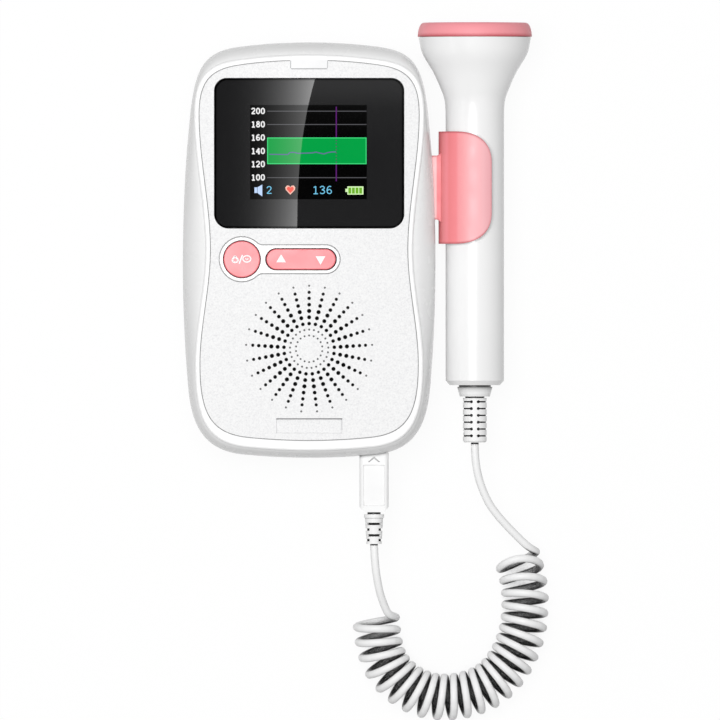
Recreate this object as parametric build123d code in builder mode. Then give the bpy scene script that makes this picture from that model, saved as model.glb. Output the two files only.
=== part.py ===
from build123d import *

import os
from collections import namedtuple
from math import radians, tan

# Hand-held fetal doppler monitor: a battery-powered main unit lying on its back, an ultrasound
# probe held in the clip on its right side, and the probe's curly lead plugged into its lower end.
# Millimetres. +Z points up out of the unit's face and +Y towards its top end.
# The origin is the centre of the main unit's flat back.

os.makedirs("parts", exist_ok=True)

# ---------------------------------------------------------------------------------------------
# Driving dimensions
# ---------------------------------------------------------------------------------------------

# Fits between pieces
seat_gap = 0.1  # round a piece that drops into a pocket
slide_gap = 0.15  # round a piece that moves in its opening
key_gap = 0.2  # round a key in its hole
panel_groove = 0.3  # the line that shows round the panel and round the keys' bezel
shaft_gap = 0.05  # radial, round a pin or a plunger
touch_gap = 0.05  # between a moving piece and what it pushes
inner_gap = 0.3  # round a loose inner piece

# Casing outline, seen from the front. Each inset is measured from the corner of the casing's box.
case_half_length = 69.2
case_half_width = 42.1
case_widest_y = -5.0
case_top_end_in = Vector(18.7, 1.5)
case_top_corner_in = Vector(4.75, 3.4)
case_shoulder_in = Vector(2.6, 22.7)
case_bottom_end_in = Vector(20.0, 1.1)
case_bottom_corner_in = Vector(3.6, 2.8)
case_hip_in = Vector(1.8, 23.2)
case_fullness = (0.787, 0.707)

# Front panel outline: a waisted panel inside a rim
panel_side_in = 5.6  # from the casing's side at its widest
panel_waist_in = 3.8  # from the panel's widest to its waist
panel_top_in = 6.2
panel_bottom_in = 5.9
panel_top_end_in = Vector(12.5, 1.7)
panel_top_corner_in = Vector(0.0, 3.7)
panel_shoulder_in = Vector(0.0, 17.9)
panel_bottom_end_in = Vector(16.5, 1.0)
panel_bottom_corner_in = Vector(0.3, 2.6)
panel_hip_in = Vector(0.3, 25.3)
panel_fullness = (0.73, 0.75)
rim_side = 1.9
rim_top = 2.1
rim_bottom = 3.6

# Heights and walls of the casing
case_thickness = 34.0
parting_z = 15.0
wall_top_z = 23.0
rim_height = 0.9
rim_fillet = 0.6
panel_recess = 0.2
panel_thickness = 1.0
floor_thickness = 2.0
wall = 2.0
back_thickness = 2.0
back_fillet = 8.0
back_fillet_inside = 4.5
parting_chamfer = 0.3
# How far in the flank has come towards the rim, at how far up its height
flank_profile = ((0.0, 0.0), (0.22, 0.52), (0.58, 0.84), (1.0, 1.0))

# Marks moulded into the front panel
tab_width = 12.2
tab_taper = 1.6
tab_length = 2.9
tab_depth = 0.35
label_width = 22.0
label_height = 5.0
label_y = -58.6
label_depth = 0.3

# Display
window_width = 63.2
window_height = 50.0
window_y = 32.2
window_radius_top = 4.2
window_radius_bottom = 4.8
window_chamfer = 0.2
screen_width = 39.6
screen_height = 31.7
screen_y = 32.6
screen_margin = 0.8
lcd_width = 47.0
lcd_height = 36.5
lcd_thickness = 2.2
lcd_gasket_thickness = 0.7
holder_wall = 0.8
holder_lip = 1.6
holder_ledge = 2.4

# Keys: a round power key and a two-way volume rocker in a keyhole-shaped bezel
keys_y = -3.1
power_x = -22.4
power_radius = 6.17
power_travel = 0.5
key_proud = 0.4
key_fillet = 0.5
power_flange = 0.75
power_flange_thickness = 1.1
rocker_x = -2.7
rocker_length = 23.3
rocker_width = 7.07
rocker_end_gap = 0.3
rocker_reach = 8.0  # from the rocker's axis to each of its stems
rocker_pin_radius = 0.8
rocker_pin_length = 1.5
rocker_axis_drop = 1.4  # below the casing's floor
ear_thickness = 1.4
ear_radius = 1.9
stem_radius = 1.2
stem_tip_fillet = 0.9
bezel_radius = 7.4
bezel_bar_width = 9.4
bezel_bar_end_x = 10.2
bezel_blend = 3.0
bezel_proud = 0.2
bezel_chamfer = 0.2

# Tact switches on the main board
switch_size = 6.0
switch_height = 3.5
plunger_radius = 1.7
plunger_height = 5.0  # of the plunger's top over the board
plunger_length = 2.6

# Speaker and its grille
speaker_y = -32.9
speaker_radius = 20.0
speaker_flange_thickness = 1.7
speaker_gasket_thickness = 0.5
speaker_lip = 1.4
speaker_depth = 9.7
basket_wall = 0.8
magnet_radius = 9.5
magnet_height = 3.8
cone_edge_in = 2.8  # from the flange's edge
cone_inner_radius = 5.0
cone_depth = 3.4
cone_thickness = 0.4
surround_width = 1.2
speaker_ring_wall = 1.2
speaker_ring_height = 3.0
grille_rays = 25
grille_sides = 8
grille_rings = ((18.8, 0.85), (16.8, 0.95), (14.7, 1.05), (12.6, 1.2), (10.5, 1.15), (8.4, 1.0))
# Blind dimples that finish the pattern: radius of the ring, diameter and number
dimple_rings = ((21.0, 0.75, 25), (6.4, 0.75, 25), (4.43, 0.7, 18))
dimple_depth = 0.35

# Main board
board_z = 20.2
board_thickness = 1.6
board_side_in = 12.5
board_top_in = 12.2
board_bottom_y = -15.5
board_corner = 2.0
board_screw_in = Vector(2.4, 3.5)
board_boss_radius = 2.2
board_screw_radius = 1.0
board_screw_head_radius = 1.9
board_screw_head = 1.2
board_screw_length = 6.0

# Case screws, from the back
top_screw_in = Vector(8.9, 19.2)
bottom_screw_in = Vector(11.1, 14.2)
case_boss_radius = 3.2
case_screw_radius = 1.3
case_screw_head_radius = 2.3
case_screw_head = 1.6
case_screw_head_z = 6.0
case_screw_length = 16.0
screw_slot_width = 0.6
screw_slot_depth = 0.6

# Battery compartment: two AA cells side by side behind the display
cell_radius = 7.25
cell_length = 49.0
cell_nub_radius = 2.75
cell_nub_length = 1.5
cell_pitch = 15.1
compartment_y = 35.55
compartment_width = 31.4
compartment_length = 55.3
compartment_wall = 1.7
compartment_roof = 1.5
cell_headroom = 0.35
contact_thickness = 0.4
contact_width = 11.0
contact_height = 10.0
spring_width = 5.0
spring_depth = 1.6

# Battery cover
door_width = 36.0
door_start_y = 7.0
door_thickness = 1.6
door_recess = 0.2
rail_width = 1.1
rail_thickness = 0.8
rail_lip = 0.7
rail_length = 50.0
rail_start_in = 3.0
rail_block = 3.0
grip_width = 14.0
grip_length = 7.0
grip_depth = 0.6
grip_rib = 0.7
grip_pitch = 1.75
grip_in = 8.0

# Probe, along Y on the unit's right
probe_x = 55.2
probe_z = 19.5
handle_radius = 9.75
head_radius = 19.05
cap_overhang = 0.3  # of the cap past the head's rim
head_flare = 0.2  # how far the head still widens per unit of height where it meets the cap
probe_wall = 2.0
tail_y = -45.0
tail_chamfer = Vector(1.4, 1.5)
neck_y = 44.0
face_y = 75.8
cap_height = 4.65
cap_joint_gap = 0.15
cap_edge = Vector(2.1, 1.6)
skirt_length = 3.0
skirt_wall = 2.4
cap_window = 2.4
seal_width = 0.9
seal_depth = 0.8
seal_squeeze = 0.02
crystal_edge_gap = 0.85  # inside the cup
crystal_thickness = 1.0
crystal_gap = 1.2
backing_thickness = 2.9
holder_base = 2.0
holder_rim = 1.7
probe_board_length = 70.0
probe_board_thickness = 1.0
probe_board_y = 5.0

# Probe's cable exit
collar_length = 3.2
collar_radius = 5.9
collar_taper = 0.9
collar_groove = 0.6
collar_hole_radius = 5.4
collar_flange_radius = 7.0
collar_flange = 1.6
relief_radius = 3.95
relief_stem_radius = 3.2
relief_length = 14.8
relief_core_radius = 1.6
relief_groove = 0.5
relief_end_chamfer = 0.5
rung_count = 6
rung_first = 1.25
rung_pitch = 2.27
rung_slot = 0.5
rung_web = 2.3
rung_hole = 0.5

# Clip that holds the probe
clip_gap = 0.3
clip_wall = 2.05
clip_bottom_y = 2.1
clip_top_y = 39.5
clip_wing_x = 5.6  # past the probe's axis
clip_wing_round = Vector(12.2, 10.5)
clip_wing_fullness = 0.65
clip_neck_bottom_y = 10.2
clip_neck_top_y = 31.5
clip_neck_height = 8.7
clip_flare = 1.0
clip_flange_thickness = 1.6
clip_flange_margin = 2.6
clip_flange_height = 10.5
clip_flange_reach = 0.8  # towards the wall, from its inner face at the shoulder

# Plug and the jack it goes into
plug_x = 21.6
plug_z = 21.0
plug_width = 9.7
plug_thickness = 8.0
plug_seat_y = -67.4
plug_length = 19.8
plug_chamfer = Vector(1.35, 1.8)
plug_round = 1.4
plug_field = Vector(7.2, 13.7)
plug_field_y = -78.4
plug_field_depth = 0.25
arrow_width = 4.0
arrow_height = 1.8
arrow_y = -68.8
arrow_line = 0.5
shell_width = 6.85
shell_height = 1.8
shell_wall = 0.3
shell_length = 6.7
shell_embed = 1.5
jack_width = 8.2
jack_height = 3.6
jack_length = 6.0
jack_board_thickness = 1.2
jack_board_width = 11.4
jack_board_length = 11.0
jack_wall_gap = 1.5
jack_overhang = 0.6  # of the jack past its board
jack_screw_spread = 7.8
jack_screw_y = -56.6
jack_post_radius = 1.9
jack_screw_radius = 0.8
jack_screw_head_radius = 1.5
jack_screw_head = 0.9
jack_screw_length = 5.0
plug_neck_radius = 2.2
plug_neck_length = 0.7
plug_ring_radius = 3.35
plug_ring_length = 1.2
plug_relief_radius = 3.0
plug_relief_end_radius = 2.55
plug_relief_length = 8.7
plug_slot = 0.8
plug_slot_ys = (2.0, 3.9, 5.8, 7.4)  # from the end of the ring
plug_slot_core = 1.5

# Lead: a thin round cable, wound into a curl in its middle
cord_diameter = 2.6
curl_diameter = 16.0
cord_exit_gap = 0.05
arc_share = 0.45
curl_z = 8.02

# ---------------------------------------------------------------------------------------------
# Heights worked out from them
# ---------------------------------------------------------------------------------------------
face_z = case_thickness
rim_foot_z = face_z - rim_height
panel_top_z = face_z - panel_recess
panel_z = panel_top_z - panel_thickness
floor_z = panel_z - floor_thickness
board_top_z = board_z + board_thickness
key_top_z = face_z + key_proud
plunger_top_z = board_top_z + plunger_height
stem_end_z = plunger_top_z + touch_gap
lcd_top_z = floor_z - lcd_gasket_thickness
lcd_z = lcd_top_z - lcd_thickness
rocker_axis_z = floor_z - rocker_axis_drop
door_top_z = door_recess + door_thickness
compartment_z = door_top_z + slide_gap
cell_z = door_top_z + cell_headroom / 2 + cell_radius
compartment_top_z = cell_z + cell_radius + cell_headroom
speaker_flange_z = floor_z - speaker_gasket_thickness - speaker_flange_thickness
cap_y = face_y - cap_height
shell_end_y = cap_y - cap_joint_gap

# ---------------------------------------------------------------------------------------------
# Outlines
# ---------------------------------------------------------------------------------------------
Outline = namedtuple(
    "Outline",
    "top top_end top_corner shoulder waist hip bottom_corner bottom_end bottom top_fullness bottom_fullness",
)


def outline_from(half_width, top, bottom, waist, top_insets, bottom_insets, fullness):
    """Key points of an outline's right half, given as insets from the corners of its box."""
    top_right = Vector(half_width, top)
    bottom_right = Vector(half_width, -bottom)
    top_end, top_corner, shoulder = (top_right - inset for inset in top_insets)
    bottom_end, bottom_corner, hip = (
        bottom_right + Vector(-inset.X, inset.Y) for inset in bottom_insets
    )
    return Outline(
        Vector(0, top),
        top_end,
        top_corner,
        shoulder,
        waist,
        hip,
        bottom_corner,
        bottom_end,
        Vector(0, -bottom),
        *fullness,
    )


def grown(shape, side, top=None, bottom=None):
    """The outline moved outwards by side, and by top and bottom at its ends."""
    top = side if top is None else top
    bottom = side if bottom is None else bottom
    return shape._replace(
        top=shape.top + Vector(0, top),
        top_end=shape.top_end + Vector(0, top),
        top_corner=shape.top_corner + Vector(side, top),
        shoulder=shape.shoulder + Vector(side, 0),
        waist=shape.waist + Vector(side, 0),
        hip=shape.hip + Vector(side, 0),
        bottom_corner=shape.bottom_corner + Vector(side, -bottom),
        bottom_end=shape.bottom_end + Vector(0, -bottom),
        bottom=shape.bottom + Vector(0, -bottom),
    )


def between(one, other, share):
    """The outline that lies share of the way from one to the other."""
    return Outline(*(a + (b - a) * share for a, b in zip(one, other)))


def bow(start, start_way, end, end_way):
    """Draw a gentle curve that leaves start along start_way and reaches end along end_way."""
    third = (end - start).length / 3
    Bezier(start, start + start_way.normalized() * third, end - end_way.normalized() * third, end)


def soft_corner(start, corner, end, fullness):
    """Draw a round corner that pulls towards its sharp point by fullness."""
    Bezier(start, start + (corner - start) * fullness, end + (corner - end) * fullness, end)


def face_of(shape):
    """The area inside an outline: its right half is drawn and mirrored."""
    across, down = Vector(1, 0), Vector(0, -1)
    with BuildSketch(mode=Mode.PRIVATE) as area:
        with BuildLine():
            bow(shape.top, across, shape.top_end, shape.top_corner - shape.top_end)
            soft_corner(shape.top_end, shape.top_corner, shape.shoulder, shape.top_fullness)
            bow(shape.shoulder, shape.shoulder - shape.top_corner, shape.waist, down)
            bow(shape.waist, down, shape.hip, shape.bottom_corner - shape.hip)
            soft_corner(shape.hip, shape.bottom_corner, shape.bottom_end, shape.bottom_fullness)
            bow(shape.bottom_end, shape.bottom_end - shape.bottom_corner, shape.bottom, -across)
            mirror(about=Plane.YZ)
        make_face()
    return area.sketch


def slab(shape, low, high):
    """An upright block of an outline between two heights."""
    with BuildPart(mode=Mode.PRIVATE) as block:
        with BuildSketch(Plane.XY.offset(low)):
            add(face_of(shape))
        extrude(amount=high - low)
    return block.part


case_outline = outline_from(
    case_half_width,
    case_half_length,
    case_half_length,
    Vector(case_half_width, case_widest_y),
    (case_top_end_in, case_top_corner_in, case_shoulder_in),
    (case_bottom_end_in, case_bottom_corner_in, case_hip_in),
    case_fullness,
)
panel_half_width = case_half_width - panel_side_in
panel_outline = outline_from(
    panel_half_width,
    case_half_length - panel_top_in,
    case_half_length - panel_bottom_in,
    Vector(panel_half_width - panel_waist_in, 0),
    (panel_top_end_in, panel_top_corner_in, panel_shoulder_in),
    (panel_bottom_end_in, panel_bottom_corner_in, panel_hip_in),
    panel_fullness,
)
rim_outline = grown(panel_outline, rim_side, rim_top, rim_bottom)


def flank(inset):
    """The upper casing from its straight wall in to the rim, shrunk by inset."""
    with BuildPart(mode=Mode.PRIVATE) as block:
        for share, height in flank_profile:
            with BuildSketch(Plane.XY.offset(wall_top_z + (rim_foot_z - wall_top_z) * height)):
                add(face_of(grown(between(case_outline, rim_outline, share), -inset)))
        loft()
    return block.part


def back_block(inset, low, edge_fillet):
    """The lower casing up to the parting plane, its back edge rounded, shrunk by inset."""
    with BuildPart(mode=Mode.PRIVATE) as block:
        add(slab(grown(case_outline, -inset), low, parting_z))
        fillet(block.edges().group_by(Axis.Z)[0], edge_fillet)
    return block.part


# Places that several pieces share
board_half_width = case_half_width - board_side_in
board_top_y = case_half_length - board_top_in
board_screws_at = [
    (side * (board_half_width - board_screw_in.X), y)
    for side in (-1, 1)
    for y in (board_top_y - board_screw_in.Y, board_bottom_y + board_screw_in.Y)
]
case_screws_at = [
    (side * (case_half_width - inset.X), end * (case_half_length - inset.Y))
    for side in (-1, 1)
    for end, inset in ((1, top_screw_in), (-1, bottom_screw_in))
]
jack_screws_at = [(plug_x + side * jack_screw_spread / 2, jack_screw_y) for side in (-1, 1)]
switch_xs = (rocker_x - rocker_reach, rocker_x + rocker_reach)
screen_opening = (screen_width + 2 * screen_margin, screen_height + 2 * screen_margin)
probe_plane = Plane(origin=(probe_x, 0, probe_z))
probe_axis = Axis((probe_x, 0, probe_z), (0, 1, 0))
plug_plane = Plane(origin=(plug_x, 0, plug_z))
plug_axis = Axis((plug_x, 0, plug_z), (0, 1, 0))


def window_area(gap):
    """The display window's area, grown by gap."""
    with BuildSketch(mode=Mode.PRIVATE) as area:
        with Locations((0, window_y)):
            Rectangle(window_width, window_height)
        by_height = area.vertices().group_by(Axis.Y)
        fillet(by_height[-1], window_radius_top)
        fillet(area.vertices().group_by(Axis.Y)[0], window_radius_bottom)
        if gap:
            offset(amount=gap)
    return area.sketch


def bezel_area(gap):
    """The keyhole outline round both keys, grown by gap."""
    bar_centre_x = (power_x + bezel_bar_end_x) / 2
    with BuildSketch(mode=Mode.PRIVATE) as area:
        with Locations((bar_centre_x, keys_y)):
            SlotOverall(bezel_bar_end_x - power_x, bezel_bar_width)
        with Locations((power_x, keys_y)):
            Circle(bezel_radius)
        inner_corners = area.vertices().sort_by_distance((power_x + bezel_radius, keys_y))[:2]
        fillet(inner_corners, bezel_blend)
        if gap:
            offset(amount=gap)
    return area.sketch


def key_holes():
    """The holes that the power key and the rocker move in."""
    with BuildSketch(mode=Mode.PRIVATE) as area:
        with Locations((power_x, keys_y)):
            Circle(power_radius + key_gap)
        with Locations((rocker_x, keys_y)):
            SlotOverall(rocker_length + 2 * rocker_end_gap, rocker_width + 2 * key_gap)
    return area.sketch


def dish(width, length, depth, centre):
    """A shallow recess with sides that slope at 45 degrees, centre being that of its mouth."""
    with BuildPart(mode=Mode.PRIVATE) as hollow:
        for drop in (0, depth):
            with BuildSketch(Plane(origin=centre - Vector(0, 0, drop))):
                Rectangle(width - 2 * drop, length - 2 * drop)
        loft()
    return hollow.part


# ---------------------------------------------------------------------------------------------
# Main unit: casing
# ---------------------------------------------------------------------------------------------

# Front cover: straight wall, curved flank and a raised rim round the panel's pocket
with BuildPart() as front_cover:
    add(slab(rim_outline, rim_foot_z, face_z))
    fillet(front_cover.edges().group_by(Axis.Z)[-1], rim_fillet)
    add(slab(case_outline, parting_z, wall_top_z))
    add(flank(0))
    add(slab(grown(panel_outline, panel_groove), panel_z, face_z), mode=Mode.SUBTRACT)
    with BuildPart(mode=Mode.PRIVATE) as cavity:
        add(slab(grown(case_outline, -wall), parting_z, wall_top_z))
        add(flank(wall))
        split(bisect_by=Plane.XY.offset(floor_z), keep=Keep.BOTTOM)
    add(cavity.part, mode=Mode.SUBTRACT)
    # Bosses for the case screws and the main board, and the ring that centres the speaker
    with BuildSketch(Plane.XY.offset(parting_z)):
        with Locations(*case_screws_at):
            Circle(case_boss_radius)
    extrude(amount=floor_z - parting_z)
    with BuildSketch(Plane.XY.offset(board_top_z)):
        with Locations(*board_screws_at):
            Circle(board_boss_radius)
    extrude(amount=floor_z - board_top_z)
    with BuildSketch(Plane.XY.offset(floor_z - speaker_ring_height)):
        with Locations((0, speaker_y)):
            Circle(speaker_radius + seat_gap + speaker_ring_wall)
            Circle(speaker_radius + seat_gap, mode=Mode.SUBTRACT)
    extrude(amount=speaker_ring_height)
    # Ears that carry the rocker's pins
    ear_offset = rocker_width / 2 + key_gap + ear_thickness / 2 + inner_gap
    with Locations(*[(rocker_x, keys_y + side * ear_offset, floor_z) for side in (-1, 1)]):
        Box(
            2 * ear_radius,
            ear_thickness,
            rocker_axis_drop + ear_radius,
            align=(Align.CENTER, Align.CENTER, Align.MAX),
        )
    with Locations(Location((rocker_x, keys_y, rocker_axis_z), (90, 0, 0))):
        Cylinder(rocker_pin_radius + shaft_gap, 2 * (ear_offset + ear_thickness), mode=Mode.SUBTRACT)
    # Openings through the floor
    with BuildSketch(Plane.XY.offset(floor_z)):
        with Locations((0, screen_y)):
            Rectangle(*screen_opening)
        with Locations((0, speaker_y)):
            Circle(speaker_radius - speaker_lip / 2)
        add(key_holes())
    extrude(amount=floor_thickness, mode=Mode.SUBTRACT)
    # Pilot holes in the bosses
    with BuildSketch(Plane.XY.offset(parting_z)):
        with Locations(*case_screws_at):
            Circle(case_screw_radius + shaft_gap)
    extrude(amount=case_screw_head_z + case_screw_length + 1 - parting_z, mode=Mode.SUBTRACT)
    with BuildSketch(Plane.XY.offset(board_top_z)):
        with Locations(*board_screws_at):
            Circle(board_screw_radius + shaft_gap)
    extrude(amount=board_screw_length, mode=Mode.SUBTRACT)
    # Notch in the right wall for the clip's neck
    neck_height = clip_neck_height + slide_gap
    with Locations((case_half_width, (clip_neck_bottom_y + clip_neck_top_y) / 2, parting_z)):
        Box(
            4 * wall,
            clip_neck_top_y - clip_neck_bottom_y + 2 * slide_gap,
            neck_height,
            align=(Align.CENTER, Align.CENTER, Align.MIN),
            mode=Mode.SUBTRACT,
        )
    # Seat for the plug in the lower end, and the way through to the jack
    with Locations((plug_x, plug_seat_y, plug_z)):
        Box(
            plug_width + 2 * slide_gap,
            4 * wall,
            plug_thickness + 2 * slide_gap,
            align=(Align.CENTER, Align.MAX, Align.CENTER),
            mode=Mode.SUBTRACT,
        )
        Box(
            shell_width + 4 * inner_gap,
            4 * wall,
            shell_height + 4 * inner_gap,
            mode=Mode.SUBTRACT,
        )
front_cover.part.label = "front_cover"
export_step(front_cover.part, "parts/front_cover.step")

# Rear cover: rounded tub with the battery compartment moulded into it
rail_top_z = door_recess + rail_lip + rail_thickness + slide_gap
with BuildPart() as rear_cover:
    add(back_block(0, 0, back_fillet))
    chamfer(rear_cover.edges().group_by(Axis.Z)[-1], parting_chamfer)
    add(back_block(wall, back_thickness, back_fillet_inside), mode=Mode.SUBTRACT)
    # Compartment walls, and thicker strips that the cover's rails run in
    compartment_height = compartment_top_z + compartment_roof - back_thickness
    with Locations((0, compartment_y, back_thickness)):
        Box(
            compartment_width + 2 * compartment_wall,
            compartment_length + 2 * compartment_wall,
            compartment_height,
            align=(Align.CENTER, Align.CENTER, Align.MIN),
        )
        Box(
            door_width + 2 * rail_width + rail_block,
            compartment_length + 2 * compartment_wall,
            rail_block - back_thickness / 2,
            align=(Align.CENTER, Align.CENTER, Align.MIN),
        )
    with Locations((0, compartment_y, 0)):
        Box(
            compartment_width,
            compartment_length,
            compartment_top_z,
            align=(Align.CENTER, Align.CENTER, Align.MIN),
            mode=Mode.SUBTRACT,
        )
    # Pocket for the cover, open at the top end, and its two grooves
    with Locations((0, door_start_y - slide_gap, 0)):
        Box(
            door_width + 2 * slide_gap,
            case_half_length,
            compartment_z,
            align=(Align.CENTER, Align.MIN, Align.MIN),
            mode=Mode.SUBTRACT,
        )
    with Locations((0, door_start_y + rail_start_in - slide_gap, door_recess + rail_lip - slide_gap)):
        Box(
            door_width + 2 * (rail_width + slide_gap),
            case_half_length,
            rail_thickness + 2 * slide_gap,
            align=(Align.CENTER, Align.MIN, Align.MIN),
            mode=Mode.SUBTRACT,
        )
    # Bosses for the case screws, with their heads sunk in from the back
    with BuildSketch(Plane.XY.offset(back_thickness)):
        with Locations(*case_screws_at):
            Circle(case_boss_radius)
    extrude(amount=parting_z - back_thickness)
    with BuildSketch():
        with Locations(*case_screws_at):
            Circle(case_screw_radius + slide_gap)
    extrude(amount=parting_z, mode=Mode.SUBTRACT)
    with BuildSketch():
        with Locations(*case_screws_at):
            Circle(case_screw_head_radius + slide_gap)
    extrude(amount=case_screw_head_z + case_screw_head, mode=Mode.SUBTRACT)
    # Posts for the jack's board
    jack_board_z = plug_z - jack_height / 2 - jack_board_thickness
    with BuildSketch(Plane.XY.offset(back_thickness)):
        with Locations(*jack_screws_at):
            Circle(jack_post_radius)
    extrude(amount=jack_board_z - back_thickness)
    with BuildSketch(Plane.XY.offset(jack_board_z)):
        with Locations(*jack_screws_at):
            Circle(jack_screw_radius + shaft_gap)
    extrude(amount=-jack_screw_length, mode=Mode.SUBTRACT)
rear_cover.part.label = "rear_cover"
export_step(rear_cover.part, "parts/rear_cover.step")

# Front panel: satin waisted panel with the speaker grille pierced through it
with BuildPart() as front_panel:
    add(slab(panel_outline, panel_z, panel_top_z))
    with BuildSketch(Plane.XY.offset(panel_z)):
        add(window_area(seat_gap))
        add(bezel_area(panel_groove))
        with Locations((0, speaker_y)):
            for ring_radius, hole_diameter in grille_rings:
                with PolarLocations(ring_radius, grille_rays, start_angle=90):
                    RegularPolygon(hole_diameter / 2, grille_sides)
    extrude(amount=panel_thickness, mode=Mode.SUBTRACT)
    with BuildSketch(Plane.XY.offset(panel_top_z)):
        with Locations((0, speaker_y)):
            for ring_radius, dimple_diameter, count in dimple_rings:
                with PolarLocations(ring_radius, count, start_angle=90):
                    RegularPolygon(dimple_diameter / 2, grille_sides)
    extrude(amount=-dimple_depth, mode=Mode.SUBTRACT)
    label_mouth = Vector(0, label_y, panel_top_z)
    add(dish(label_width, label_height, label_depth, label_mouth), mode=Mode.SUBTRACT)
    with BuildSketch(Plane.XY.offset(panel_top_z)):
        tab_top_y = case_half_length - panel_top_in + seat_gap
        with BuildLine():
            Polyline(
                (-tab_width / 2, tab_top_y),
                (tab_width / 2, tab_top_y),
                (tab_width / 2 - tab_taper, tab_top_y - tab_length),
                (tab_taper - tab_width / 2, tab_top_y - tab_length),
                close=True,
            )
        make_face()
    extrude(amount=-tab_depth, mode=Mode.SUBTRACT)
front_panel.part.label = "front_panel"
export_step(front_panel.part, "parts/front_panel.step")

# Probe clip: a C-shaped cradle on a neck, with a flange trapped inside the casing
clip_inner_radius = handle_radius + clip_gap
clip_outer_radius = clip_inner_radius + clip_wall
clip_left_x = probe_x - clip_outer_radius
clip_right_x = probe_x + clip_wing_x
clip_length = clip_top_y - clip_bottom_y
clip_mid_y = (clip_top_y + clip_bottom_y) / 2
neck_mid_y = (clip_neck_bottom_y + clip_neck_top_y) / 2
neck_width = clip_neck_top_y - clip_neck_bottom_y
with BuildPart() as probe_clip:
    with BuildSketch(Plane.XZ.offset(-clip_top_y)):
        with Locations((probe_x, probe_z)):
            Circle(clip_outer_radius)
        neck_right_x = clip_left_x + clip_wall / 2
        with Locations((neck_right_x, parting_z + touch_gap)):
            Rectangle(
                clip_outer_radius,
                clip_neck_height - touch_gap,
                align=(Align.MIN, Align.MIN),
            )
        with Locations((probe_x, probe_z)):
            Circle(clip_inner_radius, mode=Mode.SUBTRACT)
    extrude(amount=clip_length)
    # Wings with large round corners, seen from the front
    with BuildSketch(Plane.XY) as wing_view:
        with BuildLine():
            upper = Vector(clip_right_x, clip_top_y)
            lower = Vector(clip_right_x, clip_bottom_y)
            in_x, in_y = Vector(clip_wing_round.X, 0), Vector(0, clip_wing_round.Y)
            soft_corner(upper - in_x, upper, upper - in_y, clip_wing_fullness)
            Line(upper - in_y, lower + in_y)
            soft_corner(lower + in_y, lower, lower - in_x, clip_wing_fullness)
            Polyline(
                lower - in_x,
                (clip_left_x - clip_wall, clip_bottom_y),
                (clip_left_x - clip_wall, clip_top_y),
                upper - in_x,
            )
        make_face()
    extrude(amount=case_thickness, mode=Mode.INTERSECT)
    # Neck through the casing's wall, flared where it meets the cradle
    flange_right_x = case_half_width - case_shoulder_in.X - wall + clip_flange_reach
    with BuildSketch(Plane.XY.offset(parting_z + touch_gap)):
        with BuildLine():
            Polyline(
                (flange_right_x, clip_neck_bottom_y),
                (clip_left_x - clip_flare / 2, clip_neck_bottom_y),
                (clip_left_x + clip_wall / 2, clip_neck_bottom_y - clip_flare),
                (clip_left_x + clip_wall / 2, clip_neck_top_y + clip_flare),
                (clip_left_x - clip_flare / 2, clip_neck_top_y),
                (flange_right_x, clip_neck_top_y),
                close=True,
            )
        make_face()
    extrude(amount=clip_neck_height - touch_gap)
    with Locations((flange_right_x, neck_mid_y, parting_z + touch_gap)):
        Box(
            clip_flange_thickness,
            neck_width + 2 * clip_flange_margin,
            clip_flange_height,
            align=(Align.MAX, Align.CENTER, Align.MIN),
        )
probe_clip.part.label = "probe_clip"
export_step(probe_clip.part, "parts/probe_clip.step")

# Case screws
with BuildPart() as case_screws:
    with BuildSketch(Plane.XY.offset(case_screw_head_z)):
        with Locations(*case_screws_at):
            Circle(case_screw_head_radius)
    extrude(amount=case_screw_head)
    with BuildSketch(Plane.XY.offset(case_screw_head_z)):
        with Locations(*case_screws_at):
            Circle(case_screw_radius)
    extrude(amount=case_screw_length)
    with BuildSketch(Plane.XY.offset(case_screw_head_z)):
        for turn in (0, 90):
            with Locations(*[Location((x, y, 0), (0, 0, turn)) for x, y in case_screws_at]):
                Rectangle(1.4 * case_screw_head_radius, screw_slot_width)
    extrude(amount=screw_slot_depth, mode=Mode.SUBTRACT)
case_screws.part.label = "case_screws"
export_step(case_screws.part, "parts/case_screws.step")

# ---------------------------------------------------------------------------------------------
# Main unit: display
# ---------------------------------------------------------------------------------------------

# Display window: a flat lens that fills its opening in the panel
with BuildPart() as display_window:
    with BuildSketch(Plane.XY.offset(panel_z)):
        add(window_area(0))
    extrude(amount=panel_thickness)
    chamfer(display_window.edges().group_by(Axis.Z)[-1], window_chamfer)
display_window.part.label = "display_window"
export_step(display_window.part, "parts/display_window.step")

with BuildPart() as lcd_gasket:
    with BuildSketch(Plane.XY.offset(lcd_top_z)):
        with Locations((0, screen_y)):
            Rectangle(lcd_width - screen_margin, lcd_height)
            Rectangle(*screen_opening, mode=Mode.SUBTRACT)
    extrude(amount=lcd_gasket_thickness)
lcd_gasket.part.label = "lcd_gasket"
export_step(lcd_gasket.part, "parts/lcd_gasket.step")

with BuildPart() as lcd_module:
    with Locations((0, screen_y, lcd_z)):
        Box(lcd_width, lcd_height, lcd_thickness, align=(Align.CENTER, Align.CENTER, Align.MIN))
    chamfer(lcd_module.edges().group_by(Axis.Z)[-1], window_chamfer)
lcd_module.part.label = "lcd_module"
export_step(lcd_module.part, "parts/lcd_module.step")

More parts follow.
